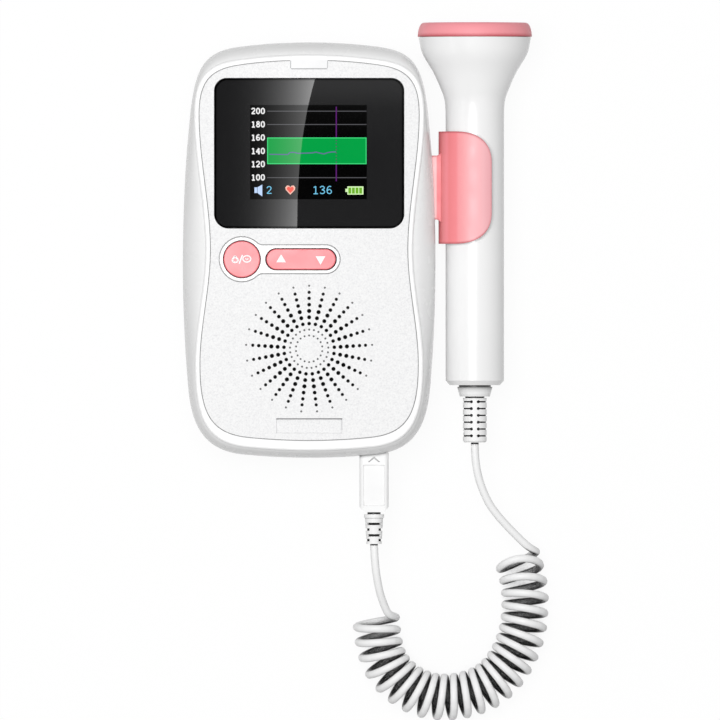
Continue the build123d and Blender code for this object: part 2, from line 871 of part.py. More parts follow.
# Holder: a frame that stands on the main board and carries the display module
with BuildPart() as lcd_holder:
    with BuildSketch(Plane.XY.offset(board_top_z)):
        with Locations((0, screen_y)):
            Rectangle(
                lcd_width + 2 * (holder_wall + seat_gap),
                lcd_height + 2 * (holder_wall + seat_gap),
            )
            Rectangle(lcd_width - 2 * holder_ledge, lcd_height - 2 * holder_ledge, mode=Mode.SUBTRACT)
    extrude(amount=lcd_z + holder_lip - board_top_z)
    with Locations((0, screen_y, lcd_z)):
        Box(
            lcd_width + 2 * seat_gap,
            lcd_height + 2 * seat_gap,
            lcd_thickness,
            align=(Align.CENTER, Align.CENTER, Align.MIN),
            mode=Mode.SUBTRACT,
        )
lcd_holder.part.label = "lcd_holder"
export_step(lcd_holder.part, "parts/lcd_holder.step")

# ---------------------------------------------------------------------------------------------
# Main unit: boards
# ---------------------------------------------------------------------------------------------

with BuildPart() as main_board:
    with BuildSketch(Plane.XY.offset(board_z)) as board_area:
        with Locations((0, (board_top_y + board_bottom_y) / 2)):
            RectangleRounded(2 * board_half_width, board_top_y - board_bottom_y, board_corner)
        with Locations(*board_screws_at):
            Circle(board_screw_radius + slide_gap, mode=Mode.SUBTRACT)
    extrude(amount=board_thickness)
main_board.part.label = "main_board"
export_step(main_board.part, "parts/main_board.step")

# Chips under the board: length, width, height and place of each
chips = (
    (12.0, 12.0, 1.2, 2.0, 34.0),
    (8.0, 8.0, 1.0, -11.0, 20.0),
    (6.0, 5.0, 1.2, 12.0, 17.0),
    (16.0, 5.0, 3.5, 0.0, -10.0),
    (5.0, 7.0, 4.0, 23.0, 20.0),
)
with BuildPart() as board_chips:
    for length, width, height, x, y in chips:
        with Locations((x, y, board_z)):
            Box(length, width, height, align=(Align.CENTER, Align.CENTER, Align.MAX))
board_chips.part.label = "board_chips"
export_step(board_chips.part, "parts/board_chips.step")

with BuildPart() as board_screws:
    with BuildSketch(Plane.XY.offset(board_z)):
        with Locations(*board_screws_at):
            Circle(board_screw_head_radius)
    extrude(amount=-board_screw_head)
    with BuildSketch(Plane.XY.offset(board_z)):
        with Locations(*board_screws_at):
            Circle(board_screw_radius)
    extrude(amount=board_screw_length)
board_screws.part.label = "board_screws"
export_step(board_screws.part, "parts/board_screws.step")

# Jack: an open-fronted metal-cased socket on its own small board
jack_front_y = -(case_half_length - case_bottom_end_in.Y - wall - jack_wall_gap)
with BuildPart() as jack:
    with Locations((plug_x, jack_front_y, plug_z)):
        Box(jack_width, jack_length, jack_height, align=(Align.CENTER, Align.MIN, Align.CENTER))
        Box(
            shell_width + 2 * seat_gap,
            plug_seat_y + shell_length + inner_gap - jack_front_y,
            shell_height + 2 * seat_gap,
            align=(Align.CENTER, Align.MIN, Align.CENTER),
            mode=Mode.SUBTRACT,
        )
jack.part.label = "jack"
export_step(jack.part, "parts/jack.step")

with BuildPart() as jack_board:
    with BuildSketch(Plane.XY.offset(jack_board_z)):
        with Locations((plug_x, jack_front_y + jack_overhang)):
            Rectangle(jack_board_width, jack_board_length, align=(Align.CENTER, Align.MIN))
        with Locations(*jack_screws_at):
            Circle(jack_screw_radius + slide_gap, mode=Mode.SUBTRACT)
    extrude(amount=jack_board_thickness)
jack_board.part.label = "jack_board"
export_step(jack_board.part, "parts/jack_board.step")

with BuildPart() as jack_screws:
    with BuildSketch(Plane.XY.offset(jack_board_z + jack_board_thickness)):
        with Locations(*jack_screws_at):
            Circle(jack_screw_head_radius)
    extrude(amount=jack_screw_head)
    with BuildSketch(Plane.XY.offset(jack_board_z + jack_board_thickness)):
        with Locations(*jack_screws_at):
            Circle(jack_screw_radius)
    extrude(amount=-jack_screw_length)
jack_screws.part.label = "jack_screws"
export_step(jack_screws.part, "parts/jack_screws.step")

# ---------------------------------------------------------------------------------------------
# Main unit: keys and switches
# ---------------------------------------------------------------------------------------------

with BuildPart() as button_bezel:
    with BuildSketch(Plane.XY.offset(panel_z)):
        add(bezel_area(0))
    extrude(amount=panel_thickness + bezel_proud)
    chamfer(button_bezel.edges().group_by(Axis.Z)[-1], bezel_chamfer)
    with BuildSketch(Plane.XY.offset(panel_z)):
        add(key_holes())
    extrude(amount=panel_thickness + bezel_proud, mode=Mode.SUBTRACT)
button_bezel.part.label = "button_bezel"
export_step(button_bezel.part, "parts/button_bezel.step")

# Power key: a domed cap, a flange that keeps it in, and a stem onto its switch
power_flange_z = floor_z - touch_gap - power_flange_thickness
with BuildPart() as power_button:
    with BuildSketch(Plane.XY.offset(power_flange_z)):
        with Locations((power_x, keys_y)):
            Circle(power_radius)
    extrude(amount=key_top_z - power_flange_z)
    fillet(power_button.edges().group_by(Axis.Z)[-1], key_fillet)
    with BuildSketch(Plane.XY.offset(power_flange_z)):
        with Locations((power_x, keys_y)):
            Circle(power_radius + power_flange)
    extrude(amount=power_flange_thickness)
    with BuildSketch(Plane.XY.offset(stem_end_z)):
        with Locations((power_x, keys_y)):
            Circle(stem_radius)
    extrude(amount=power_flange_z - stem_end_z)
power_button.part.label = "power_button"
export_step(power_button.part, "parts/power_button.step")

# Volume rocker: a pill that tips on two pins, with a stem over each switch
rocker_base_z = rocker_axis_z - rocker_pin_radius / 2
with BuildPart() as volume_rocker:
    with BuildSketch(Plane.XY.offset(stem_end_z)):
        with Locations(*[(x, keys_y) for x in switch_xs]):
            Circle(stem_radius)
    extrude(amount=rocker_base_z - stem_end_z)
    fillet(volume_rocker.edges().group_by(Axis.Z)[0], stem_tip_fillet)
    with BuildSketch(Plane.XY.offset(rocker_base_z)) as pill:
        with Locations((rocker_x, keys_y)):
            SlotOverall(rocker_length, rocker_width)
    extrude(amount=key_top_z - rocker_base_z)
    fillet(volume_rocker.edges().group_by(Axis.Z)[-1], key_fillet)
    with Locations(Location((rocker_x, keys_y, rocker_axis_z), (90, 0, 0))):
        Cylinder(rocker_pin_radius, 2 * ear_offset + ear_thickness)
volume_rocker.part.label = "volume_rocker"
export_step(volume_rocker.part, "parts/volume_rocker.step")


def switch_bodies(places):
    """Square switch bodies on the board, each with the well its plunger moves in."""
    with BuildPart(mode=Mode.PRIVATE) as bodies:
        with BuildSketch(Plane.XY.offset(board_top_z)):
            with Locations(*places):
                Rectangle(switch_size, switch_size)
        extrude(amount=switch_height)
        with BuildSketch(Plane.XY.offset(plunger_top_z - plunger_length - 2 * power_travel)):
            with Locations(*places):
                Circle(plunger_radius + shaft_gap)
        extrude(amount=switch_height, mode=Mode.SUBTRACT)
    return bodies.part


def plunger_at(x):
    """A switch's plunger."""
    with BuildPart(mode=Mode.PRIVATE) as pin:
        with BuildSketch(Plane.XY.offset(plunger_top_z - plunger_length)):
            with Locations((x, keys_y)):
                Circle(plunger_radius)
        extrude(amount=plunger_length)
    return pin.part


with BuildPart() as power_switch:
    add(switch_bodies([(power_x, keys_y)]))
power_switch.part.label = "power_switch"
export_step(power_switch.part, "parts/power_switch.step")

with BuildPart() as volume_switches:
    add(switch_bodies([(x, keys_y) for x in switch_xs]))
volume_switches.part.label = "volume_switches"
export_step(volume_switches.part, "parts/volume_switches.step")

with BuildPart() as power_plunger:
    add(plunger_at(power_x))
power_plunger.part.label = "power_plunger"
export_step(power_plunger.part, "parts/power_plunger.step")

with BuildPart() as volume_up_plunger:
    add(plunger_at(switch_xs[0]))
volume_up_plunger.part.label = "volume_up_plunger"
export_step(volume_up_plunger.part, "parts/volume_up_plunger.step")

with BuildPart() as volume_down_plunger:
    add(plunger_at(switch_xs[1]))
volume_down_plunger.part.label = "volume_down_plunger"
export_step(volume_down_plunger.part, "parts/volume_down_plunger.step")

# ---------------------------------------------------------------------------------------------
# Main unit: speaker
# ---------------------------------------------------------------------------------------------
speaker_plane = Plane(origin=(0, speaker_y, 0), x_dir=(1, 0, 0), z_dir=(0, -1, 0))
speaker_axis = Axis((0, speaker_y, 0), (0, 0, 1))
speaker_top_z = speaker_flange_z + speaker_flange_thickness
cone_radius = speaker_radius - cone_edge_in
magnet_z = speaker_top_z - speaker_depth
basket_z = magnet_z + magnet_height

with BuildPart() as speaker_gasket:
    with BuildSketch(Plane.XY.offset(speaker_top_z)):
        with Locations((0, speaker_y)):
            Circle(speaker_radius)
            Circle(speaker_radius - speaker_lip, mode=Mode.SUBTRACT)
    extrude(amount=speaker_gasket_thickness)
speaker_gasket.part.label = "speaker_gasket"
export_step(speaker_gasket.part, "parts/speaker_gasket.step")

# Basket: a flange and a dish that carries the magnet
with BuildPart() as speaker_basket:
    with BuildSketch(speaker_plane):
        with BuildLine():
            Polyline(
                (speaker_radius, speaker_flange_z),
                (speaker_radius, speaker_top_z),
                (cone_radius + surround_width, speaker_top_z),
                (cone_radius + surround_width, speaker_flange_z + basket_wall),
                (magnet_radius, basket_z + basket_wall),
                (0, basket_z + basket_wall),
                (0, basket_z),
                (magnet_radius + basket_wall, basket_z),
                (cone_radius + surround_width, speaker_flange_z),
                close=True,
            )
        make_face()
    revolve(axis=speaker_axis)
speaker_basket.part.label = "speaker_basket"
export_step(speaker_basket.part, "parts/speaker_basket.step")

with BuildPart() as speaker_magnet:
    with Locations((0, speaker_y, magnet_z)):
        Cylinder(magnet_radius, magnet_height, align=(Align.CENTER, Align.CENTER, Align.MIN))
speaker_magnet.part.label = "speaker_magnet"
export_step(speaker_magnet.part, "parts/speaker_magnet.step")

# Cone: a shallow paper funnel with a dust cap, its surround glued to the flange
with BuildPart() as speaker_cone:
    cone_edge_z = speaker_top_z - cone_thickness
    with BuildSketch(speaker_plane):
        with BuildLine():
            Polyline(
                (cone_radius + surround_width, speaker_top_z),
                (cone_radius, speaker_top_z),
                (cone_inner_radius, speaker_top_z - cone_depth),
                (0, speaker_top_z - cone_depth + cone_thickness),
                (0, speaker_top_z - cone_depth),
                (cone_inner_radius, speaker_top_z - cone_depth - cone_thickness),
                (cone_radius, cone_edge_z),
                (cone_radius + surround_width, cone_edge_z),
                close=True,
            )
        make_face()
    revolve(axis=speaker_axis)
speaker_cone.part.label = "speaker_cone"
export_step(speaker_cone.part, "parts/speaker_cone.step")

# ---------------------------------------------------------------------------------------------
# Main unit: batteries
# ---------------------------------------------------------------------------------------------
compartment_low_y = compartment_y - compartment_length / 2
compartment_high_y = compartment_y + compartment_length / 2
cell_span = cell_length + cell_nub_length

# Two cells, head to tail
with BuildPart() as battery_cells:
    for side in (-1, 1):
        tail_end = compartment_y - side * cell_span / 2
        with Locations(Location((side * cell_pitch / 2, tail_end, cell_z), (-90 * side, 0, 0))):
            Cylinder(cell_radius, cell_length, align=(Align.CENTER, Align.CENTER, Align.MIN))
            Cylinder(cell_nub_radius, cell_span, align=(Align.CENTER, Align.CENTER, Align.MIN))
battery_cells.part.label = "battery_cells"
export_step(battery_cells.part, "parts/battery_cells.step")

# Flat contact plates on the end walls: one long bridge and two single ones
with BuildPart() as battery_contacts:
    with Locations((0, compartment_high_y, cell_z)):
        Box(
            cell_pitch + contact_width,
            contact_thickness,
            contact_height,
            align=(Align.CENTER, Align.MAX, Align.CENTER),
        )
    with Locations(*[(side * cell_pitch / 2, compartment_low_y, cell_z) for side in (-1, 1)]):
        Box(
            contact_width,
            contact_thickness,
            contact_height,
            align=(Align.CENTER, Align.MIN, Align.CENTER),
        )
battery_contacts.part.label = "battery_contacts"
export_step(battery_contacts.part, "parts/battery_contacts.step")

# Bent leaf springs between the plates and the cells
with BuildPart() as battery_springs:
    leaf_back = compartment_length / 2 - contact_thickness
    leaf_tip = cell_span / 2 + touch_gap
    for side in (-1, 1):
        for end in (-1, 1):
            leaf_plane = Plane(
                origin=(side * cell_pitch / 2 - spring_width / 2, compartment_y, cell_z),
                x_dir=(0, end, 0),
                z_dir=(1, 0, 0),
            )
            with BuildSketch(leaf_plane):
                with BuildLine():
                    Polyline(
                        (leaf_back, -contact_height / 2),
                        (leaf_back, contact_height / 2),
                        (leaf_back - contact_thickness, contact_height / 2),
                        (leaf_back - contact_thickness, -contact_height / 4),
                        (leaf_tip, 0),
                        (leaf_tip, -contact_thickness),
                        (leaf_back - contact_thickness, -contact_height / 2),
                        close=True,
                    )
                make_face()
            extrude(amount=spring_width)
battery_springs.part.label = "battery_springs"
export_step(battery_springs.part, "parts/battery_springs.step")

# Battery cover: follows the casing's back and rounded end, on two rails
with BuildPart() as battery_cover:
    add(back_block(0, 0, back_fillet))
    with Locations((0, door_start_y, door_recess)):
        Box(
            door_width,
            case_half_length,
            door_thickness,
            align=(Align.CENTER, Align.MIN, Align.MIN),
            mode=Mode.INTERSECT,
        )
    with Locations((0, door_start_y + rail_start_in, door_recess + rail_lip)):
        Box(
            door_width + 2 * rail_width,
            rail_length,
            rail_thickness,
            align=(Align.CENTER, Align.MIN, Align.MIN),
        )
    with Locations((0, door_start_y + grip_in, door_recess)):
        Box(
            grip_width,
            grip_length,
            grip_depth,
            align=(Align.CENTER, Align.CENTER, Align.MIN),
            mode=Mode.SUBTRACT,
        )
        with GridLocations(0, grip_pitch, 1, 3):
            Box(
                grip_width,
                grip_rib,
                grip_depth,
                align=(Align.CENTER, Align.CENTER, Align.MIN),
            )
battery_cover.part.label = "battery_cover"
export_step(battery_cover.part, "parts/battery_cover.step")

# ---------------------------------------------------------------------------------------------
# Probe
# ---------------------------------------------------------------------------------------------
head_inner_radius = head_radius - probe_wall - cap_joint_gap / 2
skirt_radius = head_inner_radius - seat_gap
skirt_y = cap_y - skirt_length
handle_inner_radius = handle_radius - probe_wall
# How the head swells from the handle: share of the swell, share of its height
swell = ((0.155, 0.344), (0.49, 0.595), (0.85, 0.812))
swell_height = shell_end_y - neck_y
rim_radius = head_radius - cap_overhang


def swell_points(inset, drop):
    """Points on the head's flank, shrunk by inset and moved down by drop."""
    return [
        (
            handle_radius - inset + (head_radius - handle_radius) * out,
            neck_y - drop + swell_height * up,
        )
        for out, up in swell
    ]


def probe_shell(keep):
    """One half of the handle and head, split through the probe's axis."""
    with BuildPart(mode=Mode.PRIVATE) as half:
        with BuildSketch(probe_plane):
            with BuildLine():
                Polyline(
                    (handle_radius, neck_y),
                    (handle_radius, tail_y + tail_chamfer.Y),
                    (handle_radius - tail_chamfer.X, tail_y),
                    (collar_hole_radius, tail_y),
                    (collar_hole_radius, tail_y + probe_wall),
                    (handle_inner_radius, tail_y + probe_wall),
                    (handle_inner_radius, neck_y),
                )
                Spline(
                    (handle_inner_radius, neck_y),
                    *swell_points(probe_wall, -probe_wall / 2)[:2],
                    (skirt_radius - skirt_wall / 2, skirt_y - seat_gap),
                    tangents=((0, 1), (0.35, 1)),
                )
                Polyline(
                    (skirt_radius - skirt_wall / 2, skirt_y - seat_gap),
                    (head_inner_radius, skirt_y - seat_gap),
                    (head_inner_radius, shell_end_y),
                    (rim_radius, shell_end_y),
                )
                Spline(
                    (rim_radius, shell_end_y),
                    *reversed(swell_points(0, 0)),
                    (handle_radius, neck_y),
                    tangents=((-head_flare, -1), (0, -1)),
                )
            make_face()
        revolve(axis=probe_axis)
        split(bisect_by=Plane.XY.offset(probe_z), keep=keep)
    return half.part


with BuildPart() as probe_front_shell:
    add(probe_shell(Keep.TOP))
probe_front_shell.part.label = "probe_front_shell"
export_step(probe_front_shell.part, "parts/probe_front_shell.step")

with BuildPart() as probe_rear_shell:
    add(probe_shell(Keep.BOTTOM))
probe_rear_shell.part.label = "probe_rear_shell"
export_step(probe_rear_shell.part, "parts/probe_rear_shell.step")

# Cap: the coloured contact face, with a skirt and a seal groove that go into the head
seal_y = skirt_y + skirt_length / 2
skirt_inner_radius = skirt_radius - skirt_wall
with BuildPart() as probe_cap:
    with BuildSketch(probe_plane):
        with BuildLine():
            Polyline((0, face_y - cap_window), (0, face_y), (head_radius - cap_edge.X, face_y))
            soft_corner(
                Vector(head_radius - cap_edge.X, face_y),
                Vector(head_radius - cap_joint_gap, face_y),
                Vector(head_radius, cap_y),
                0.6,
            )
            Polyline(
                (head_radius, cap_y),
                (skirt_radius, cap_y),
                (skirt_radius, seal_y + seal_width / 2),
                (skirt_radius - seal_depth, seal_y + seal_width / 2),
                (skirt_radius - seal_depth, seal_y - seal_width / 2),
                (skirt_radius, seal_y - seal_width / 2),
                (skirt_radius, skirt_y),
                (skirt_inner_radius, skirt_y),
                (skirt_inner_radius, face_y - cap_window),
                (0, face_y - cap_window),
            )
        make_face()
    revolve(axis=probe_axis)
probe_cap.part.label = "probe_cap"
export_step(probe_cap.part, "parts/probe_cap.step")

with BuildPart() as probe_seal:
    with BuildSketch(Plane.XZ.offset(-seal_y)):
        with Locations((probe_x, probe_z)):
            Circle(head_inner_radius - seal_squeeze)
            Circle(skirt_radius - seal_depth, mode=Mode.SUBTRACT)
    extrude(amount=(seal_width - touch_gap) / 2, both=True)
probe_seal.part.label = "probe_seal"
export_step(probe_seal.part, "parts/probe_seal.step")

# Transducer: two half-disc crystals on an absorbing backing, in a cup behind the cap
crystal_y = face_y - cap_window - touch_gap - crystal_thickness
backing_y = crystal_y - backing_thickness
cup_radius = skirt_inner_radius - seat_gap
cup_inner_radius = cup_radius - holder_rim
with BuildPart() as piezo_crystals:
    with BuildSketch(Plane.XZ.offset(-crystal_y)):
        with Locations((probe_x, probe_z)):
            Circle(cup_inner_radius - crystal_edge_gap)
            Rectangle(crystal_gap, 2 * cup_inner_radius, mode=Mode.SUBTRACT)
    extrude(amount=-crystal_thickness)
piezo_crystals.part.label = "piezo_crystals"
export_step(piezo_crystals.part, "parts/piezo_crystals.step")

with BuildPart() as acoustic_backing:
    with BuildSketch(Plane.XZ.offset(-backing_y)):
        with Locations((probe_x, probe_z)):
            Circle(cup_inner_radius - seat_gap)
    extrude(amount=-backing_thickness)
acoustic_backing.part.label = "acoustic_backing"
export_step(acoustic_backing.part, "parts/acoustic_backing.step")

with BuildPart() as transducer_cup:
    with BuildSketch(Plane.XZ.offset(-(backing_y - holder_base))):
        with Locations((probe_x, probe_z)):
            Circle(cup_radius)
    extrude(amount=-(face_y - cap_window - touch_gap - backing_y + holder_base))
    with BuildSketch(Plane.XZ.offset(-backing_y)):
        with Locations((probe_x, probe_z)):
            Circle(cup_inner_radius)
    extrude(amount=-(face_y - backing_y), mode=Mode.SUBTRACT)
transducer_cup.part.label = "transducer_cup"
export_step(transducer_cup.part, "parts/transducer_cup.step")

# Amplifier board, clamped between the two shells
with BuildPart() as probe_board:
    with Locations((probe_x, probe_board_y, probe_z)):
        Box(2 * (handle_inner_radius - inner_gap), probe_board_length, probe_board_thickness)
    with Locations((probe_x, probe_board_y, probe_z + probe_board_thickness / 2)):
        with GridLocations(0, probe_board_length / 4, 1, 3):
            Box(
                handle_inner_radius,
                handle_inner_radius,
                probe_board_thickness,
                align=(Align.CENTER, Align.CENTER, Align.MIN),
            )
probe_board.part.label = "probe_board"
export_step(probe_board.part, "parts/probe_board.step")

# Collar: a tapered ring held in the handle's end, with the strain relief through it
collar_top_y = tail_y - collar_groove
collar_end_y = collar_top_y - collar_length
collar_neck_radius = collar_hole_radius - touch_gap
with BuildPart() as probe_collar:
    with BuildSketch(probe_plane):
        with BuildLine():
            Polyline(
                (relief_stem_radius + touch_gap, collar_end_y),
                (collar_radius - collar_taper, collar_end_y),
                (collar_radius, collar_top_y),
                (collar_neck_radius, collar_top_y),
                (collar_neck_radius, tail_y + probe_wall + touch_gap),
                (collar_flange_radius, tail_y + probe_wall + touch_gap),
                (collar_flange_radius, tail_y + probe_wall + touch_gap + collar_flange),
                (relief_stem_radius + touch_gap, tail_y + probe_wall + touch_gap + collar_flange),
                close=True,
            )
        make_face()
    revolve(axis=probe_axis)
probe_collar.part.label = "probe_collar"
export_step(probe_collar.part, "parts/probe_collar.step")

# Strain relief: a ladder of rungs on a narrow spine round the cable, which bends gently
relief_top_y = collar_end_y - relief_groove
relief_end_y = relief_top_y - relief_length
stem_top_y = tail_y + probe_wall + 2 * touch_gap + collar_flange
with BuildPart() as probe_strain_relief:
    with BuildSketch(probe_plane):
        with BuildLine():
            Polyline(
                (0, relief_end_y),
                (relief_radius - relief_end_chamfer, relief_end_y),
                (relief_radius, relief_end_y + relief_end_chamfer),
                (relief_radius, relief_top_y),
                (relief_stem_radius, relief_top_y),
                (relief_stem_radius, stem_top_y),
                (collar_hole_radius, stem_top_y),
                (collar_hole_radius, stem_top_y + collar_flange),
                (0, stem_top_y + collar_flange),
                close=True,
            )
        make_face()
    revolve(axis=probe_axis)
    with BuildSketch(probe_plane):
        for rung in range(rung_count):
            slot_y = relief_top_y - rung_first - rung_pitch * rung
            for side in (-1, 1):
                with Locations((side * (rung_web / 2 + relief_radius / 2), slot_y)):
                    Rectangle(relief_radius, rung_slot)
                with Locations((side * rung_web / 2, slot_y)):
                    Circle(rung_hole)
    extrude(amount=relief_radius, both=True, mode=Mode.SUBTRACT)
    with BuildSketch(Plane.XZ.offset(-relief_top_y)):
        with Locations((probe_x, probe_z)):
            Circle(relief_core_radius)
    extrude(amount=relief_length)
probe_strain_relief.part.label = "probe_strain_relief"
export_step(probe_strain_relief.part, "parts/probe_strain_relief.step")

# ---------------------------------------------------------------------------------------------
# Plug
# ---------------------------------------------------------------------------------------------
plug_top_y = plug_seat_y - slide_gap
plug_end_y = plug_top_y - plug_length
plug_low_z = plug_z - plug_thickness / 2
plug_high_z = plug_z + plug_thickness / 2
with BuildPart() as plug_overmould:
    with BuildSketch(Plane.XY.offset(plug_low_z)):
        with BuildLine():
            left, right = plug_x - plug_width / 2, plug_x + plug_width / 2
            Polyline(
                (left, plug_top_y),
                (right, plug_top_y),
                (right, plug_end_y + plug_chamfer.Y),
                (right - plug_chamfer.X, plug_end_y),
                (left + plug_chamfer.X, plug_end_y),
                (left, plug_end_y + plug_chamfer.Y),
                close=True,
            )
        make_face()
    extrude(amount=plug_thickness)
    fillet(plug_overmould.edges().filter_by(Axis.Y), plug_round)
    # Sunk field, an arrow that points at the jack, and the pocket that holds the metal shell
    field_mouth = Vector(plug_x, plug_field_y, plug_high_z)
    add(dish(plug_field.X, plug_field.Y, plug_field_depth, field_mouth), mode=Mode.SUBTRACT)
    with BuildSketch(Plane.XY.offset(plug_high_z)):
        with BuildLine():
            half, foot = arrow_width / 2, arrow_y - arrow_height
            Polyline(
                (plug_x, arrow_y),
                (plug_x + half, foot),
                (plug_x + half - arrow_line, foot),
                (plug_x, arrow_y - 1.4 * arrow_line),
                (plug_x - half + arrow_line, foot),
                (plug_x - half, foot),
                close=True,
            )
        make_face()
    extrude(amount=-plug_field_depth, mode=Mode.SUBTRACT)
    with Locations((plug_x, plug_top_y, plug_z)):
        Box(
            shell_width,
            shell_embed,
            shell_height,
            align=(Align.CENTER, Align.MAX, Align.CENTER),
            mode=Mode.SUBTRACT,
        )
plug_overmould.part.label = "plug_overmould"
export_step(plug_overmould.part, "parts/plug_overmould.step")

# Metal shell: a flat tube, wider on its upper side
with BuildPart() as plug_shell:
    with Locations((plug_x, plug_top_y - shell_embed, plug_z)):
        Box(
            shell_width,
            shell_embed + shell_length,
            shell_height,
            align=(Align.CENTER, Align.MIN, Align.CENTER),
        )
    chamfer(plug_shell.edges().filter_by(Axis.Y).group_by(Axis.Z)[0], shell_height / 3)
    with Locations((plug_x, plug_top_y + shell_length, plug_z)):
        Box(
            shell_width - shell_height,
            shell_length,
            shell_height - 2 * shell_wall,
            align=(Align.CENTER, Align.MAX, Align.CENTER),
            mode=Mode.SUBTRACT,
        )
plug_shell.part.label = "plug_shell"
export_step(plug_shell.part, "parts/plug_shell.step")

# Strain relief: a ring, then a tapering sleeve with slots that take turns front and side
ring_top_y = plug_end_y - plug_neck_length
ring_end_y = ring_top_y - plug_ring_length
plug_relief_end_y = ring_end_y - plug_relief_length
with BuildPart() as plug_strain_relief:
    with BuildSketch(plug_plane):
        with BuildLine():
            Polyline(
                (0, plug_end_y),
                (plug_neck_radius, plug_end_y),
                (plug_neck_radius, ring_top_y),
                (plug_ring_radius, ring_top_y),
                (plug_ring_radius, ring_end_y),
                (plug_relief_radius, ring_end_y),
                (plug_relief_end_radius, plug_relief_end_y),
                (0, plug_relief_end_y),
                close=True,
            )
        make_face()
    revolve(axis=plug_axis)
    for number, slot_down in enumerate(plug_slot_ys):
        cut_offset = plug_slot_core + plug_relief_radius / 2
        sideways = number % 2
        for side in (-1, 1):
            place = (
                plug_x + side * cut_offset * sideways,
                ring_end_y - slot_down,
                plug_z + side * cut_offset * (1 - sideways),
            )
            with Locations(place):
                Box(
                    plug_relief_radius if sideways else 2 * plug_relief_radius,
                    plug_slot,
                    2 * plug_relief_radius if sideways else plug_relief_radius,
                    mode=Mode.SUBTRACT,
                )
plug_strain_relief.part.label = "plug_strain_relief"
export_step(plug_strain_relief.part, "parts/plug_strain_relief.step")

# ---------------------------------------------------------------------------------------------
# Lead
# ---------------------------------------------------------------------------------------------
# From the probe's strain relief, out to the right and down to the curl's start
probe_end_route = [
    Vector(probe_x, relief_end_y - cord_exit_gap, probe_z),
    Vector(probe_x, -70.0, probe_z),
    Vector(57.6, -78.2, 18.4),
    Vector(62.4, -86.2, 16.2),
    Vector(68.7, -92.8, 13.5),
    Vector(73.8, -97.6, 11.3),
    Vector(76.2, -104.6, 9.3),
]
# Middle of the curl: a U on the table
curl_route = [
    Vector(70.0, -103.6, curl_z),
    Vector(72.3, -116.5, curl_z),
    Vector(70.8, -131.0, curl_z),
    Vector(63.0, -144.0, curl_z),
    Vector(50.8, -149.3, curl_z),
    Vector(38.2, -149.0, curl_z),
    Vector(28.0, -142.6, curl_z),
    Vector(22.9, -133.0, curl_z),
    Vector(22.3, -124.0, curl_z),
]
# From the curl's end up to the plug's strain relief
plug_end_route = [
    Vector(27.6, -124.8, 11.4),
    Vector(25.3, -118.6, 15.4),
    Vector(22.9, -111.6, 18.9),
    Vector(plug_x, -103.8, plug_z),
    Vector(plug_x, plug_relief_end_y, plug_z),
]


def route_radii(points):
    """The largest tangent arcs that the runs on both sides of each corner allow."""
    radii = []
    for before, corner, after in zip(points, points[1:], points[2:]):
        turn = (corner - before).get_angle(after - corner)
        shorter = min((corner - before).length, (after - corner).length)
        radii.append(arc_share * shorter / tan(radians(turn / 2)))
    return radii


def lead(points, diameter):
    """A round tube along straight runs joined by tangent arcs."""
    radii = route_radii(points)
    print("cord radii", [round(radius, 1) for radius in radii], "of diameter", diameter)
    with BuildPart(mode=Mode.PRIVATE) as tube:
        with BuildLine() as path:
            FilletPolyline(*points, radius=radii)
        with BuildSketch(Plane(origin=path.line @ 0, z_dir=path.line % 0)):
            Circle(diameter / 2)
        sweep()
    return tube.part


with BuildPart() as cord_coil:
    add(lead(curl_route, curl_diameter))
cord_coil.part.label = "cord_coil"
export_step(cord_coil.part, "parts/cord_coil.step")

# Both straight ends stop on the curl's end faces
with BuildPart() as cord_probe_end:
    add(lead(probe_end_route, cord_diameter))
    add(cord_coil.part, mode=Mode.SUBTRACT)
cord_probe_end.part.label = "cord_probe_end"
export_step(cord_probe_end.part, "parts/cord_probe_end.step")

with BuildPart() as cord_plug_end:
    add(lead(plug_end_route, cord_diameter))
    add(cord_coil.part, mode=Mode.SUBTRACT)
cord_plug_end.part.label = "cord_plug_end"
export_step(cord_plug_end.part, "parts/cord_plug_end.step")
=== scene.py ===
import math

import bpy
import numpy as np
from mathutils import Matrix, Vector


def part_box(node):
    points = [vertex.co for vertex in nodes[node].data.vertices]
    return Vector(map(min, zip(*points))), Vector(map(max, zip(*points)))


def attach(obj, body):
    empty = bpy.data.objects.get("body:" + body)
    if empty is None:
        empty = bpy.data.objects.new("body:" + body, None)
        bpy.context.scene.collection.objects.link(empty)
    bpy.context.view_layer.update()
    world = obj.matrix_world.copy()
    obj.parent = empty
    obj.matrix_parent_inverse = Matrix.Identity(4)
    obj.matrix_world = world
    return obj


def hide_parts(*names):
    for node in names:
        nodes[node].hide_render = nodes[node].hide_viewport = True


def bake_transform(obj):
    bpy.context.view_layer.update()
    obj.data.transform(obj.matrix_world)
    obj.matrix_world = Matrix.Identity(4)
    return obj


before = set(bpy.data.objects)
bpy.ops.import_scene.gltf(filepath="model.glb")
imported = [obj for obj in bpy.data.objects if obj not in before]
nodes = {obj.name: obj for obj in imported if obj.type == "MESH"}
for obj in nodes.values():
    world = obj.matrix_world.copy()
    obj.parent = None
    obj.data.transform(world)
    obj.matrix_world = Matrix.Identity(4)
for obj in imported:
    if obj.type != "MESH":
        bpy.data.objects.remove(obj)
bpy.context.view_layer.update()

MM = 0.001

# ---------------------------------------------------------------------------------------------
# Camera: straight down through a very long lens, so that heights hardly shift a thing
# ---------------------------------------------------------------------------------------------
VIEW_CENTRE = (16.93 * MM, -36.63 * MM)
VIEW_WIDTH = 240 * MM
VIEW_LEVEL = 20 * MM
LENS = 1500.0
SENSOR = 36.0
CLIP_NEAR, CLIP_FAR = 0.1, 100.0

